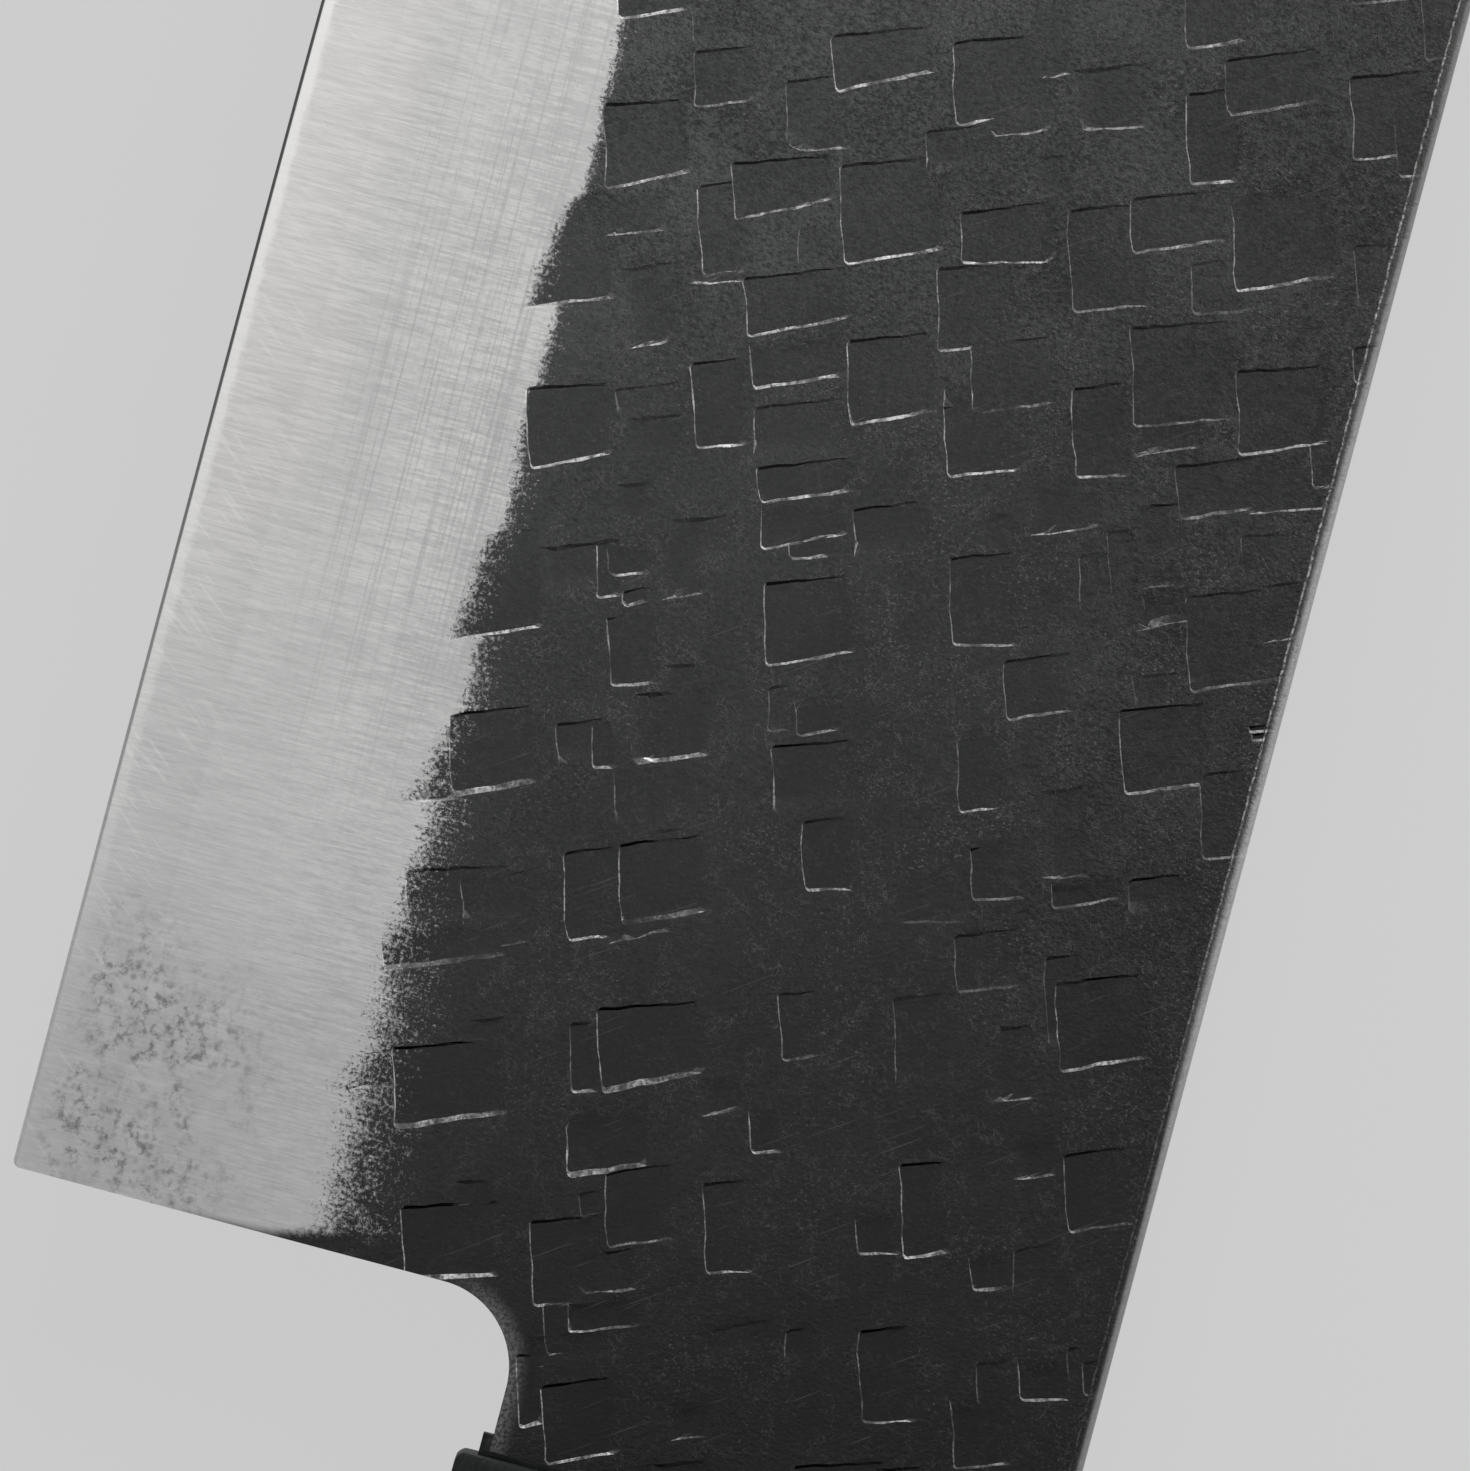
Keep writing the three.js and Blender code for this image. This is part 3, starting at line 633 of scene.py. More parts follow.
def cladding(name, marks, material, mirrored):
    """One soft iron layer: its hammered and ground outside, its outline and its flat inside."""
    rings = [ring for mark in marks for ring in (mark.outer, mark.inner)]
    loops = [np.column_stack(view_to_blade(*ring.T)) for ring in rings]
    spine_x = even_steps(PATH_START, cladding_end_x() - PATH_END_ROOM)
    paths = []
    for step in range(1, SPINE_STEPS + 1):
        inward = 1 - math.cos(math.pi / 2 * step / SPINE_STEPS)
        paths.append(curve(spine_x, lambda x: spine_y(x) + spine_round(x) * inward))
    fill = hex_points(FILL_STEP, lambda x, y: off_outline(x, y, SPINE_ROUND + FILL_ROOM))
    places, triangles = triangulate(cladding_outline(), loops, paths, fill)
    x, y = places.T

    sunk, _ = deepest(marks, x, y)
    forged = face_half(x, y) + swell(x, y) + GRIND_ALLOWANCE - sunk
    ground = forged - bevel_half(x, y)
    top = np.minimum(forged, bevel_half(x, y))
    radius = spine_round(x)
    from_spine = y - spine_y(x)
    drop = np.clip(1 - from_spine / radius, 0, 1)
    top = top - radius * (1 - np.sqrt(np.clip(1 - drop**2, 0, 1)))
    top = np.where(x < -TANG_STEP / 2, tang_half(x), top)
    base = core_half(x) + WELD_GAP
    top = np.maximum(top, base + THIN_SKIN)
    shift_x, shift_y = warp(x, y)
    upper = np.column_stack([x + shift_x, y + shift_y, top])

    rim = border(triangles)
    rim_points = [a for a, _ in rim]
    lower_of = {point: len(upper) + k for k, point in enumerate(rim_points)}
    lower = np.column_stack([x, y, base])[rim_points]
    walls = [(b, a, lower_of[a], lower_of[b]) for a, b in rim]
    floor = floor_faces(rim, places, lower_of)
    faces = triangles.tolist() + walls + floor
    points = np.vstack([upper, lower])

    a, b, c = upper[triangles].transpose(1, 0, 2)
    normal = np.cross(b - a, c - a)
    tilt = np.degrees(np.arccos(np.clip(unit(normal)[:, 2], -1, 1)))
    inside_face = from_spine[triangles].min(1) > SPINE_ROUND
    steep = np.where(inside_face, np.interp(tilt, WALL_TILT, (0, 1)), 0)
    level = unit(normal[:, :2])
    facing_up, facing_right = level @ np.array(VIEW_UP)[:2], level @ np.array(VIEW_RIGHT)[:2]
    _, wear = deepest(marks, *places[triangles].mean(1).T)
    # Painted light on steep walls: a glint, scaled by the mark's wear, where they face the light, and
    # shade where they face away.
    lit = wear * steep * np.clip(np.maximum(facing_up, LIT_SIDE * facing_right), 0, 1)
    shaded = steep * np.clip(np.maximum(-facing_up, -SHADED_SIDE * facing_right), 0, 1)
    rest = np.zeros(len(walls) + len(floor))
    of_faces = {"lit_wall_glint": np.append(lit, rest), "wall_in_shade": np.append(shaded, rest)}
    of_points = {
        "ground": ground, "edge_mm": edge_y(x) - y, "spine_mm": from_spine,
        "notch_mm": from_notch(x, y), "sunk_mm": sunk,
    }
    of_points = {label: np.append(each, each[rim_points]) for label, each in of_points.items()}
    return write_mesh(name, points, faces, of_points, of_faces, material, CLADDING_SHARP, mirrored)


def floor_faces(rim, places, lower_of):
    """The flat inside of a cladding, over the lower copy of its rim."""
    following = dict(rim)
    loop = [rim[0][0]]
    while following[loop[-1]] != loop[0]:
        loop.append(following[loop[-1]])
    found, inside, origins = delaunay(places[loop], [], len(loop), FLOOR_MERGE_WITHIN)
    faces = []
    for face in inside:
        p, q, r = (found[k] for k in face)
        upright = (q - p).cross(r - p) > 0
        corners = [lower_of[loop[origins[k][0]]] for k in face]
        faces.append(corners[::-1] if upright else corners)
    return faces


def core(material):
    """The hard steel layer, with the finished cutting edge."""
    x_all = even_steps(HEEL_X + HEEL_CORNER / 2, TIP_X - EDGE_END_ROOM)
    paths = [curve(x_all, lambda x: edge_y(x) - depth) for depth in (CUTTING_LINE, CUTTING_FACET)]
    paths.append(curve(x_all[weld_y(x_all) > spine_y(x_all) + WELD_ROOM], weld_y))
    fill = hex_points(CORE_FILL_STEP, lambda x, y: off_outline(x, y, CORE_FILL_ROOM))
    places, triangles = triangulate(core_outline(), [], paths, fill)
    x, y = places.T
    from_edge = edge_y(x) - y
    facet_top = EDGE_LAND / 2 + bevel_slope(x) * CUTTING_FACET
    line_top = CUTTING_SHARE * facet_top
    cut = np.interp(from_edge, [0, CUTTING_LINE, CUTTING_FACET], [0, 1, 2])
    facet = np.where(
        cut < 1,
        CUTTING_LAND + (line_top - CUTTING_LAND) * cut,
        line_top + (facet_top - line_top) * (cut - 1),
    )
    half = np.where(from_edge < CUTTING_FACET, facet, bevel_half(x, y))
    half = np.where(x > HEEL_X - HEEL_LINE_ROOM, np.minimum(half, core_half(x)), core_half(x))
    count = len(places)
    walls = [(b, a, a + count, b + count) for a, b in border(triangles)]
    faces = triangles.tolist() + (triangles[:, ::-1] + count).tolist() + walls
    of_points = {"edge_mm": np.tile(from_edge, 2), "spine_mm": np.tile(y - spine_y(x), 2)}
    points = np.column_stack([np.tile(places, (2, 1)), np.append(half, -half)])
    return write_mesh("edge_core", points, faces, of_points, {}, material, CORE_SHARP)


# Materials

class Field:
    """A node's output. Arithmetic on it adds math nodes to its material."""

    def __init__(self, nodes, socket):
        self.nodes, self.socket = nodes, socket

    def __add__(self, other):
        return self.nodes.math("ADD", self, other)

    def __sub__(self, other):
        return self.nodes.math("SUBTRACT", self, other)

    def __rsub__(self, other):
        return self.nodes.math("SUBTRACT", other, self)

    def __mul__(self, other):
        return self.nodes.math("MULTIPLY", self, other)

    __radd__ = __add__
    __rmul__ = __mul__

    def most(self, other):
        return self.nodes.math("MAXIMUM", self, other)

    def ramp(self, low, high, to_low=0, to_high=1, form="LINEAR"):
        """Maps a stretch of this value on to a stretch of another, and holds the ends."""
        inputs = dict(enumerate((self, low, high, to_low, to_high)))
        return self.nodes.make("MapRange", "Result", inputs, interpolation_type=form)

    def span(self, low, high, to_low=0, to_high=1):
        """The same, with a soft start and end."""
        return self.ramp(low, high, to_low, to_high, "SMOOTHSTEP")


class Nodes:
    """Short calls that add linked nodes to one material. Textures are sized in features per mm."""

    def __init__(self, name):
        self.material = bpy.data.materials.new(name)
        self.material.use_nodes = True
        self.tree = self.material.node_tree
        self.tree.nodes.clear()
        self.place = self.make("TexCoord", "Object", {})

    def add(self, kind, inputs, **settings):
        node = self.tree.nodes.new("ShaderNode" + kind)
        for key, value in settings.items():
            setattr(node, key, value)
        for key, value in inputs.items():
            self.put(node.inputs[key], value)
        return node

    def put(self, socket, value):
        if isinstance(value, Field):
            self.tree.links.new(value.socket, socket)
        elif isinstance(value, tuple) and socket.type == "RGBA":
            socket.default_value = (*value, 1)
        else:
            socket.default_value = value

    def make(self, kind, output, inputs, **settings):
        """Adds a node and gives one of its outputs."""
        return Field(self, self.add(kind, inputs, **settings).outputs[output])

    def x(self):
        """The frame's X, which tells a material how far from the heel it is."""
        return self.make("SeparateXYZ", "X", {0: self.place})

    def along(self, start, end, to_start=0, to_end=1):
        """Maps a stretch of the blade's own X, in millimetres, softly on to a stretch of a value."""
        return self.x().span(blade_x(start), blade_x(end), to_start, to_end)

    def near(self, a, b, radius):
        """1 round a place in view millimetres, falling to nought at the radius."""
        inputs = {0: self.place, 1: tuple(to_frame([*view_to_blade(a, b), 0]))}
        away = self.make("VectorMath", "Value", inputs, operation="DISTANCE")
        return away.span(radius * MM, 0.3 * radius * MM)

    def coords(self, per_mm, turn=0):
        """Object coordinates, turned about Z and then scaled."""
        place = self.place
        if turn:
            inputs = {"Vector": place, "Rotation": (0, 0, math.radians(turn))}
            place = self.make("Mapping", "Vector", inputs)
        per_mm = per_mm if isinstance(per_mm, tuple) else (per_mm,) * 3
        inputs = {"Vector": place, "Scale": tuple(scale / MM for scale in per_mm)}
        return self.make("Mapping", "Vector", inputs)

    def noise(self, per_mm, detail, roughness, turn=0, distortion=0, form="FBM"):
        inputs = {
            "Vector": self.coords(per_mm, turn), "Scale": 1, "Detail": detail,
            "Roughness": roughness, "Distortion": distortion,
        }
        return self.make("TexNoise", "Fac", inputs, noise_type=form)

    def cells(self, per_mm):
        """Random cells: the distance from each one's middle and a random value for each."""
        node = self.add("TexVoronoi", {"Vector": self.coords(per_mm), "Scale": 1})
        return Field(self, node.outputs["Distance"]), Field(self, node.outputs["Color"])

    def attribute(self, name):
        return self.make("Attribute", "Fac", {}, attribute_name=name)

    def math(self, operation, first, second=0, clamp=False):
        inputs = {0: first, 1: second}
        return self.make("Math", "Value", inputs, operation=operation, use_clamp=clamp)

    def blend(self, share, first, second):
        return self.make("Mix", 0, {0: share, 2: first, 3: second}, data_type="FLOAT")

    def tint(self, share, first, second, mode="MIX"):
        inputs = {0: share, 6: first, 7: second}
        return self.make("Mix", 2, inputs, data_type="RGBA", blend_type=mode)

    def bump(self, height, depth_mm):
        inputs = {"Height": height, "Distance": depth_mm * MM, "Strength": 1}
        return self.make("Bump", "Normal", inputs)

    def finish(self, color, metallic, roughness, normal, specular=0.5):
        inputs = {
            "Base Color": color, "Metallic": metallic, "Roughness": roughness, "Normal": normal,
            "Specular IOR Level": specular,
        }
        return self.show(self.make("BsdfPrincipled", 0, inputs))

    def show(self, shader):
        self.add("OutputMaterial", {"Surface": shader})
        return self.material


def blade_x(x):
    """The frame's X of a place on the blade, in metres."""
    return float(x * MM + ORIGIN[0])


def grey(level):
    return (level, level, level)


def satin_steel(n):
    """Colour, roughness and height of ground steel: strokes square to the edge, a few along it."""
    strokes = n.noise((9, 0.5, 0.5), 3, 0.7)
    fine = n.noise((18, 1.6, 1.6), 2, 0.6)
    lengthwise = n.noise((0.06, 8, 0.3), 3, 0.65)
    swirl = n.noise((5, 0.4, 0.4), 2, 0.5, turn=38)
    cloud = n.noise(0.14, 3, 0.55)
    fleck = n.noise((7, 3, 3), 3, 0.7)
    from_edge = n.attribute("edge_mm")
    lively = n.along(28, 56, 0.62, 1.1)
    rubbed = from_edge.span(3, 8) * lengthwise.span(0.52, 0.66) * n.along(20, 40, 0.2, 1)
    slanted = from_edge.span(6, 1) * swirl.span(0.56, 0.70)
    height = 0.5 * strokes + 0.4 * fine - 0.3 * rubbed + 0.25 * slanted
    tone = 0.5 * strokes + 0.25 * fleck + 0.25 * cloud
    tone = (tone - 0.5) * (from_edge.span(5, 11, 0.5, 1.4) * lively) + 0.5
    color = n.tint(tone.span(0.38, 0.62), (0.485, 0.48, 0.48), (0.685, 0.68, 0.675))
    color = n.tint(0.55 * rubbed, color, grey(0.42))
    color = n.tint(0.35 * slanted, color, (0.80, 0.795, 0.79))
    # Painted light falloff: paler towards the tip.
    color = n.tint(n.along(38, 64, 0, 0.45), color, (0.72, 0.715, 0.71))
    edge_zone = (from_edge + 5 * cloud).span(8, 5) * n.along(24, 58, 0, 0.8)
    color = n.tint(edge_zone, color, (0.725, 0.715, 0.70))
    nap = (0.6 * strokes + 0.4 * fine).span(0.36, 0.64, 0.92, 1.08)
    nap = n.blend(from_edge.span(9, 5) * lively, 1, nap)
    color = n.tint(1, color, nap, "MULTIPLY")
    # Painted light falloff: darker towards the heel.
    color = n.tint(n.along(34, 6, 0, 0.55), color, (0.33, 0.33, 0.335))
    return pitted(n, color), fine.span(0.3, 0.7, 0.32, 0.42), height


def pitted(n, color):
    """The steel's colour with dark pits near the heel."""
    from_edge = n.attribute("edge_mm")
    near_heel = (n.x() + 0.35 * MM * from_edge).span(blade_x(20.5), blade_x(15.5))
    area = near_heel * (from_edge.span(0.2, 1.8) * from_edge.span(11, 5))
    distance, chance = n.cells(2.5)
    spots = distance.span(0.56, 0.04) * chance.span(0.28, 0.70, 0, 0.7)
    share = spots.most(n.noise(2.2, 3, 0.66).span(0.47, 0.69))
    share = area * n.noise(0.5, 3, 0.6).span(0.32, 0.58) * share
    haze = area * n.noise(0.9, 2, 0.5).span(0.4, 0.66, 0.02, 0.2)
    color = n.tint(haze, color, grey(0.2))
    return n.tint(0.74 * share, color, (0.10, 0.10, 0.102))


# Left, top and radius of the place with the most specks, in view millimetres
GRITTY_PLACE = (32.2, 49.6, 5)


def black_scale(n, spine, sunk, grit, grain):
    """Colour and height of forge scale, with specks, hairs and fine wrinkles, and painted light falloff:
    darker towards the heel and the spine, with painted shade in the deeper marks.
    """
    by_spine = spine.span(14, 5) * n.along(14, 30)
    lively = n.along(40, 54).most(by_spine)
    tone = 0.4 * grit + 0.4 * grain + 0.2 * n.noise(0.22, 2, 0.5)
    tone = tone + (n.noise(1.6, 3, 0.6) - 0.5) * (0.22 * by_spine)
    spread = sunk.span(0, 0.05, 1, 0.55) * lively.span(0, 1, 0.5, 1.1)
    tone = (tone - 0.5) * spread + 0.5
    color = n.tint(tone.span(0.36, 0.64), (0.008, 0.0086, 0.0085), (0.0415, 0.043, 0.0425))
    # Painted light falloff: darker towards the heel and the spine, with painted shade in the deeper
    # marks.
    painted_falloff = n.x().ramp(blade_x(4), blade_x(62), 0.2, 1.76) * spine.ramp(0, 32, 0.54, 1.2)
    painted_falloff = painted_falloff * sunk.span(0, 0.06, 1.08, 0.88)
    color = n.tint(1, color, painted_falloff, "MULTIPLY")
    hairs = n.noise((0.3, 9, 0.3), 1, 0.5, turn=55).span(0.72, 0.78)
    color = n.tint(0.4 * hairs, color, grey(0.08))
    sparse = n.noise(0.35, 2, 0.5).span(0.42, 0.62).most(spine.span(4, 0.8, 0, 0.9))
    sparse = (sparse * sunk.span(0, 0.05, 1, 0.4)).most(n.near(*GRITTY_PLACE))
    fewer = n.along(8, 40, 0.4, 1)
    specks = n.noise((10, 7, 7), 2, 0.6).span(0.58, 0.70) * sparse * fewer
    color = n.tint(0.7 * specks, color, (0.13, 0.13, 0.128))
    contour = n.math("ABSOLUTE", n.noise(1.7, 4, 0.62) - 0.5)
    worms = contour.span(0.024, 0) * n.noise(0.9, 3, 0.6).span(0.47, 0.60)
    worms = worms * sunk.span(0, 0.05, 0.9, 0.35) * fewer
    color = n.tint(0.55 * worms, color, (0.12, 0.12, 0.118))
    wrinkle = n.noise(2.4, 3, 0.6, form="RIDGED_MULTIFRACTAL")
    height = 0.6 * grit + 0.5 * grain + 0.22 * wrinkle + 0.3 * worms
    height = height * sunk.span(0, 0.06, 1, 0.7) * lively.span(0, 1, 0.6, 1.1)
    return color, height


def ground_through(n, notch):
    """Share of the scale that is ground away: all on the bevel, grains at its border, none where the
    heel's straight line was burnt black."""
    level = n.attribute("ground") * n.along(12, 48, 0.34, 1.25) - n.along(32, 22, 0, 0.017)
    chance = level.ramp(-0.13, -0.02) * n.along(34, 46, 0.5, 0.2) + level.span(-0.045, 0.055, 0, 1.1)
    rub = 0.8 * n.noise(6.5, 4, 0.75) + 0.2 * n.noise((7, 0.8, 0.8), 2, 0.55)
    bare = (chance - rub.ramp(0.34, 0.66)).span(-0.22, 0.42) * chance.span(0.02, 0.15)
    from_edge = n.attribute("edge_mm")
    burn_width = from_edge.span(10, 14.5, 0, 0.9) * n.noise(5, 3, 0.6).span(0.3, 0.7, 0.75, 1.2)
    burnt = (notch - burn_width).span(0.34, -0.2) * from_edge.span(6, 10.5)
    return bare * (1 - burnt)


def forged_iron():
    """Hammered black scale, ground through to bright iron on the bevel and worn along the spine, with a
    painted sheen across the spine's rounding, worn iron and painted glints on the mark walls that face
    the light, and painted shade on those that face away.
    """
    n = Nodes("forged_iron")
    spine, notch, sunk = (n.attribute(name) for name in ("spine_mm", "notch_mm", "sunk_mm"))
    lit_wall_glint, wall_in_shade = n.attribute("lit_wall_glint"), n.attribute("wall_in_shade")
    grit = n.noise(6.5, 3, 0.7)
    grain = n.noise((5.5, 3.2, 3.2), 3, 0.65)
    scale_color, scale_height = black_scale(n, spine, sunk, grit, grain)
    steel_color, steel_rough, steel_height = satin_steel(n)
    bare = ground_through(n, notch)

    neck_wear = notch.span(0.9, 0.1) * spine.span(27.5, 24.5) * grit.span(0.36, 0.62, 0.2, 1)
    scale_color = n.tint(0.8 * neck_wear, scale_color, (0.14, 0.14, 0.138))
    color = n.tint(bare, scale_color, steel_color)
    # Worn bare steel along the spine, with a painted sheen that runs from bright at the outer corner to
    # dark further in.
    worn_spine = (spine + 0.1 * grit + n.along(26, 18, 0, 0.25)).span(0.64, 0.55)
    inward = spine + (n.along(12, 28, 0.13, 0) + n.along(44, 62, 0, 0.14))
    spine_sheen_color = n.tint(inward.ramp(0, 0.4), (0.46, 0.457, 0.455), (0.07, 0.07, 0.069))
    color = n.tint(0.95 * worn_spine, color, spine_sheen_color)
    line_place = spine + 0.16 * n.noise(1.3, 2, 0.5)
    corner_line = line_place.span(0.54, 0.59) * line_place.span(0.67, 0.61)
    corner_line = corner_line * n.noise(5, 3, 0.75).span(0.44, 0.60, 0.1, 1)
    corner_line = corner_line * n.along(14, 40, 0.15, 1)
    color = n.tint(0.9 * corner_line, color, (0.44, 0.435, 0.43))
    # Worn bare iron with painted glints, in patches, on the mark walls that face the light.
    patches = n.noise(1.1, 2, 0.5).span(0.36, 0.60, 0.15, 1)
    worn_and_glinting_wall = lit_wall_glint * grit.span(0.34, 0.62, 0.2, 1) * patches * n.along(8, 46, 0.88, 1.05)
    worn_and_glinting_wall = n.math("MULTIPLY", worn_and_glinting_wall, spine.ramp(4, 27, 0.72, 1.2), clamp=True)
    color = n.tint(worn_and_glinting_wall, color, (0.84, 0.84, 0.83))
    # Painted shade, near black, on the mark walls that face away from the light.
    dark = wall_in_shade * n.along(24, 52, 1, 0.72)
    color = n.tint(dark, color, grey(0.001))

    metallic = bare.most(0.9 * worn_spine).most(0.6 * corner_line).most(0.75 * worn_and_glinting_wall)
    metallic = metallic * wall_in_shade.span(0, 1, 1, 0)
    roughness = n.blend(bare, grain.span(0.3, 0.7, 0.42, 0.54), steel_rough)
    normal = n.bump(n.blend(bare, scale_height, 0.12 * steel_height), 0.07)
    return n.finish(color, metallic, roughness, normal, dark.span(0, 1, 0.28, 0.03))


def edge_steel():
    """Satin core steel with a painted highlight on the sharpened facet and a painted shade line at the
    very edge.
    """
    n = Nodes("edge_steel")
    from_edge = n.attribute("edge_mm")
    color, roughness, height = satin_steel(n)
    wander = from_edge + 0.5 * n.noise((1.2, 3, 3), 3, 0.6)
    # Painted highlight on the sharpened facet, stronger towards the tip.
    facet = wander.span(CUTTING_FACET + 0.46, CUTTING_FACET + 0.12)
    color = n.tint(facet * n.x().ramp(blade_x(14), blade_x(60)), color, (0.90, 0.895, 0.885))
    # Painted shade line along the very edge, darker towards the tip.
    edge_shade_color = n.tint(n.along(12, 46), grey(0.42), grey(0.09))
    color = n.tint(from_edge.span(CUTTING_LINE, CUTTING_LINE - 0.06), color, edge_shade_color)
    return n.finish(color, 1, roughness, n.bump(0.25 * height, 0.03))


def black_horn():
    """Polished buffalo horn: near black, with faint fibres, a little haze and pale specks of painted
    glint.
    """
    n = Nodes("black_horn")
    fibre = n.noise((0.12, 2.6, 2.6), 4, 0.6, distortion=0.3)
    grit = n.noise(6, 3, 0.6)
    tone = 0.6 * fibre + 0.4 * n.noise(0.3, 3, 0.55)
    color = n.tint(tone.span(0.38, 0.66), (0.0185, 0.0213, 0.0206), (0.035, 0.0394, 0.0378))
    # Pale specks: painted glints on the polished horn.
    color = n.tint(grit.span(0.58, 0.70, 0, 0.5), color, (0.075, 0.08, 0.078))
    normal = n.bump(0.6 * grit + 0.4 * fibre, 0.04)
    return n.finish(color, 0, grit.span(0.3, 0.7, 0.42, 0.58), normal, specular=0.06)


def seal_resin():
    """Black filling resin, smeared by hand."""
    n = Nodes("seal_resin")
    smear = n.noise((1.4, 0.8, 0.8), 3, 0.6, distortion=0.6)
    grit = n.noise(7, 2, 0.6)
    color = n.tint(smear.span(0.35, 0.65), (0.006, 0.0065, 0.0065), (0.014, 0.0145, 0.0145))
    normal = n.bump(0.7 * smear + 0.3 * grit, 0.05)
    return n.finish(color, 0, grit.span(0.3, 0.7, 0.42, 0.6), normal, specular=0.08)


RINGS_PER_FIELD = 60

# Dark wood, light wood and pores
WALNUT_COLORS = (0.055, 0.026, 0.012), (0.21, 0.11, 0.055), (0.02, 0.01, 0.006)
HARDWOOD_COLORS = (0.42, 0.29, 0.15), (0.62, 0.46, 0.27), (0.3, 0.2, 0.1)


def wood(name, dark, light, pore, ring_mm):
    """Oiled wood with its grain along the handle, growth bands, and short dark pores."""
    n = Nodes(name)
    field = n.noise((0.006, 0.075, 0.055), 1, 0.4)
    saw = n.math("FRACT", RINGS_PER_FIELD / ring_mm * field)
    rings = saw.span(0.1, 0.8) * saw.span(1, 0.9)
    fibre = n.noise((0.05, 3.2, 3.2), 4, 0.65)
    tone = 0.6 * fibre - 0.22 * rings + 0.4 * n.noise((0.012, 0.09, 0.09), 3, 0.5)
    color = n.tint(tone.span(0.2, 0.66), dark, light)
    pores = n.noise((0.32, 5.5, 5.5), 2, 0.5).span(0.62, 0.7)
    color = n.tint(0.7 * pores, color, pore)
    normal = n.bump(0.5 * fibre - pores, 0.05)
    return n.finish(color, 0, fibre.span(0.3, 0.7, 0.42, 0.58), normal)


# Handle pieces, softened from the solids

SAME_POINT = 0.001
FLAT_ANGLE = math.radians(1)


def softened(node, name, material, width, segments, sharper_than):
    """A copy of a solid whose outer edges are rounded, as sanding leaves them."""
    piece = put_in_scene(name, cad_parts[node].data.copy())
    mesh = bmesh.new()
    mesh.from_mesh(piece.data)
    bmesh.ops.remove_doubles(mesh, verts=mesh.verts, dist=SAME_POINT * MM)
    bmesh.ops.dissolve_limit(mesh, angle_limit=FLAT_ANGLE, verts=mesh.verts, edges=mesh.edges)
    limit = math.radians(sharper_than)
    sharp = [e for e in mesh.edges if e.is_manifold and e.is_convex and e.calc_face_angle() > limit]
    bmesh.ops.bevel(
        mesh, geom=sharp, offset=width * MM, offset_type="OFFSET", segments=segments,
        profile=0.5, affect="EDGES", clamp_overlap=True,
    )
    bmesh.ops.triangulate(mesh, faces=mesh.faces)
    mesh.to_mesh(piece.data)
    mesh.free()
    piece.data.materials.clear()
    piece.data.materials.append(material)
    for face in piece.data.polygons:
        face.material_index = 0
    shade(piece.data, HANDLE_SHARP)
    return piece


# Stage, in metres

FLOOR_RADIUS = 16.0
FLOOR_GREY = 0.625
FLOOR_SHADOW_SHARE = 0.09
BACKDROP_HEIGHT = 2.9
BACKDROP_CURVE = 1.3
RING_SIDES = 96
CURVE_STEPS = 8
FLOOR_HUB = 0.02


def backdrop_material():
    """A pale grey that the camera and reflections see evenly, with some of the object's shadow."""
    n = Nodes("backdrop")
    paths = n.add("LightPath", {}).outputs
    rays = [Field(n, paths[f"Is {kind} Ray"]) for kind in ("Camera", "Glossy", "Transmission")]
    seen = rays[0].most(rays[1]).most(rays[2])
    color = {"Color": grey(FLOOR_GREY)}
    matte, glow = n.make("BsdfDiffuse", 0, color), n.make("Emission", 0, color)
    inputs = {0: (1 - FLOOR_SHADOW_SHARE) * seen, 1: matte, 2: glow}
    return n.show(n.make("MixShader", 0, inputs))


def stage():
    """A round floor that turns up into a low wall."""
    turn = np.linspace(0, math.pi / 2, CURVE_STEPS + 1)
    radii = FLOOR_RADIUS - BACKDROP_CURVE * (1 - np.sin(turn))
    heights = BACKDROP_CURVE * (1 - np.cos(turn))
    profile = [(FLOOR_HUB, 0), *zip(radii, heights), (FLOOR_RADIUS, BACKDROP_HEIGHT)]
    points, faces = [(0, 0, 0)], []
    for radius, height in profile:
        for angle in np.linspace(0, 2 * math.pi, RING_SIDES, endpoint=False):
            points.append((radius * math.cos(angle), radius * math.sin(angle), height))
    for side in range(RING_SIDES):
        following = (side + 1) % RING_SIDES
        faces.append((0, 1 + side, 1 + following))
        for base in range(1, len(points) - RING_SIDES, RING_SIDES):
            above = base + RING_SIDES
            faces.append((base + side, above + side, above + following, base + following))
    mesh = bpy.data.meshes.new("floor")
    mesh.from_pydata(points, [], faces)
    mesh.shade_smooth()
    mesh.materials.append(backdrop_material())
    floor = put_in_scene("floor", mesh)


def camera():
    data = bpy.data.cameras.new("camera")
    data.sensor_fit = "HORIZONTAL"
    data.sensor_width = SENSOR
    data.lens = SENSOR * CAMERA_DISTANCE / VIEW_WIDTH * VIEW_SCALE
    data.clip_start, data.clip_end = CAMERA_CLIP_M
    thing = put_in_scene("camera", data)
    back = Vector((0, 0, 1))
    spot = VIEW_MIDDLE + back * CAMERA_DISTANCE * MM
    turned = Matrix((VIEW_RIGHT, VIEW_UP, back)).transposed().to_4x4()
    thing.matrix_world = Matrix.Translation(spot) @ turned
    bpy.context.scene.camera = thing


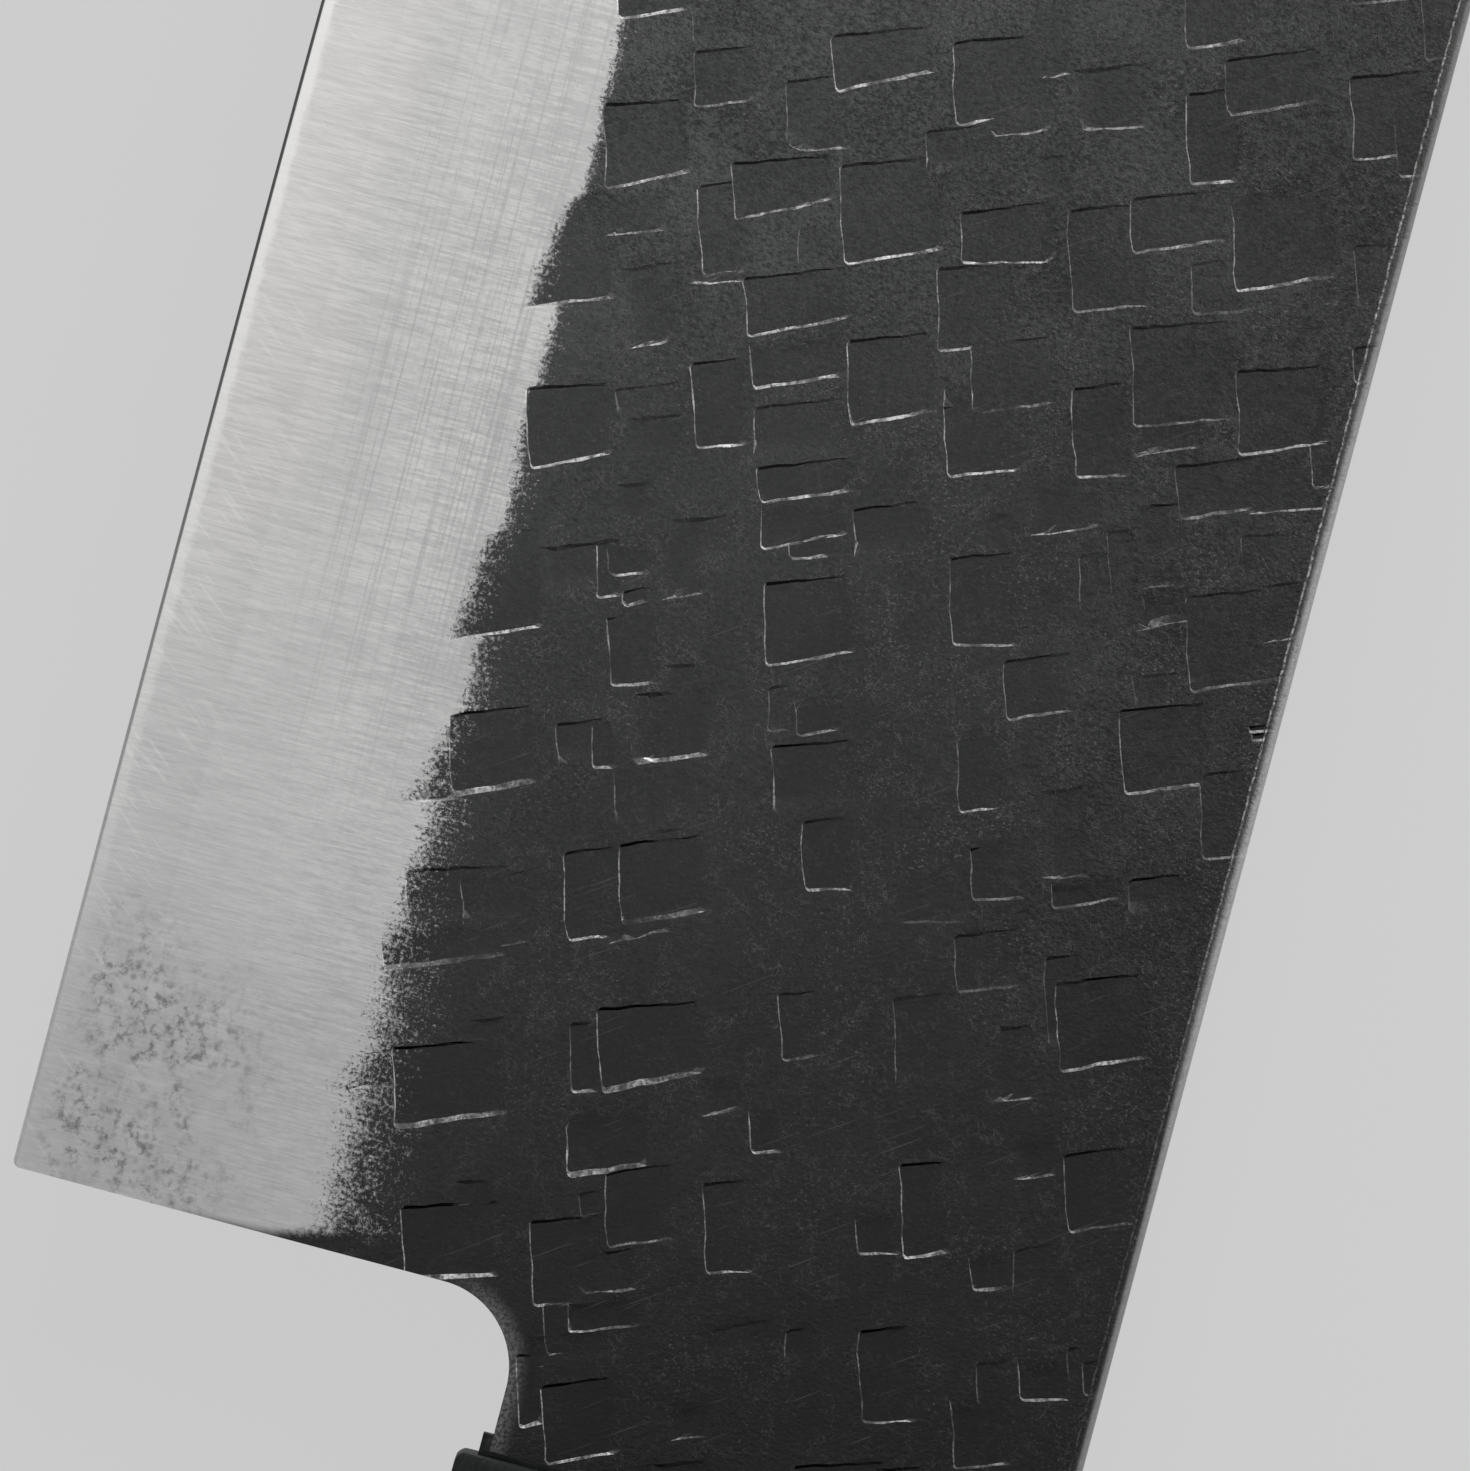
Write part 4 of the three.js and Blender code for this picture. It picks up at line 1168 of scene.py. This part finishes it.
# Soft rectangular lights: direction along the view's right and up and towards the camera, distance,
# width and height in metres, and power
PANELS = {
    "key": ((0.35, 0.70, 0.66), 0.6, (0.5, 0.5), 3.0),
    "side": ((0.95, -0.05, 0.33), 0.6, (0.5, 0.35), 1.6),
    "overhead": ((-0.42, 0.12, 0.9), 0.65, (0.5, 0.7), 0.95),
}
WORLD_LEVEL = 0.12


def lights():
    """The panels, aimed at the blade, and a dim even surrounding."""
    for name, (toward, distance, size, power) in PANELS.items():
        data = bpy.data.lights.new(name, "AREA")
        data.shape = "RECTANGLE"
        data.size, data.size_y = size
        data.energy = power
        panel = put_in_scene(name, data)
        direction = view_direction(*toward).normalized()
        panel.location = VIEW_MIDDLE + direction * distance
        panel.rotation_mode = "QUATERNION"
        panel.rotation_quaternion = direction.to_track_quat("Z", "Y")
        panel.visible_camera = False
    world = bpy.data.worlds.new("studio")
    world.use_nodes = True
    color = world.node_tree.nodes["Background"].inputs["Color"]
    color.default_value = (*grey(WORLD_LEVEL), 1)
    bpy.context.scene.world = world


def dress():
    """Every visible piece, the solid that it replaces and its finish."""
    forged = forged_iron()
    rng = random.Random(LEFT_SEED)
    left_marks = read_marks(rng) + random_marks(rng, *ABOVE_VIEW) + random_marks(rng, *BELOW_VIEW)
    right_marks = random_marks(random.Random(RIGHT_SEED), *WHOLE_FACE)
    walnut = wood("oiled_walnut", *WALNUT_COLORS, ring_mm=3.2)
    horn = softened("ferrule", "ferrule_horn", black_horn(), width=0.1, segments=2, sharper_than=20)
    body = softened("handle_body", "handle_wood", walnut, width=0.9, segments=4, sharper_than=12)
    seal = softened("tang_seal", "seal_lip", seal_resin(), width=0.08, segments=2, sharper_than=20)
    pieces = [
        (cladding("forged_left", left_marks, forged, False), "left_cladding", "forged_cladding"),
        (cladding("forged_right", right_marks, forged, True), "right_cladding", "forged_cladding"),
        (core(edge_steel()), "core_steel", "core_steel"),
        (horn, "ferrule", "horn"),
        (body, "handle_body", "handle_wood"),
        (seal, "tang_seal", "seal_resin"),
    ]
    for piece, node, slot in pieces:
        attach(piece, "root")
        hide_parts(node)
    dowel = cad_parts["dowel"]
    dowel.data.materials.clear()
    dowel.data.materials.append(wood("plain_hardwood", *HARDWOOD_COLORS, ring_mm=2.2))


bpy.context.scene.view_settings.view_transform = "Standard"
camera()
stage()
lights()
dress()
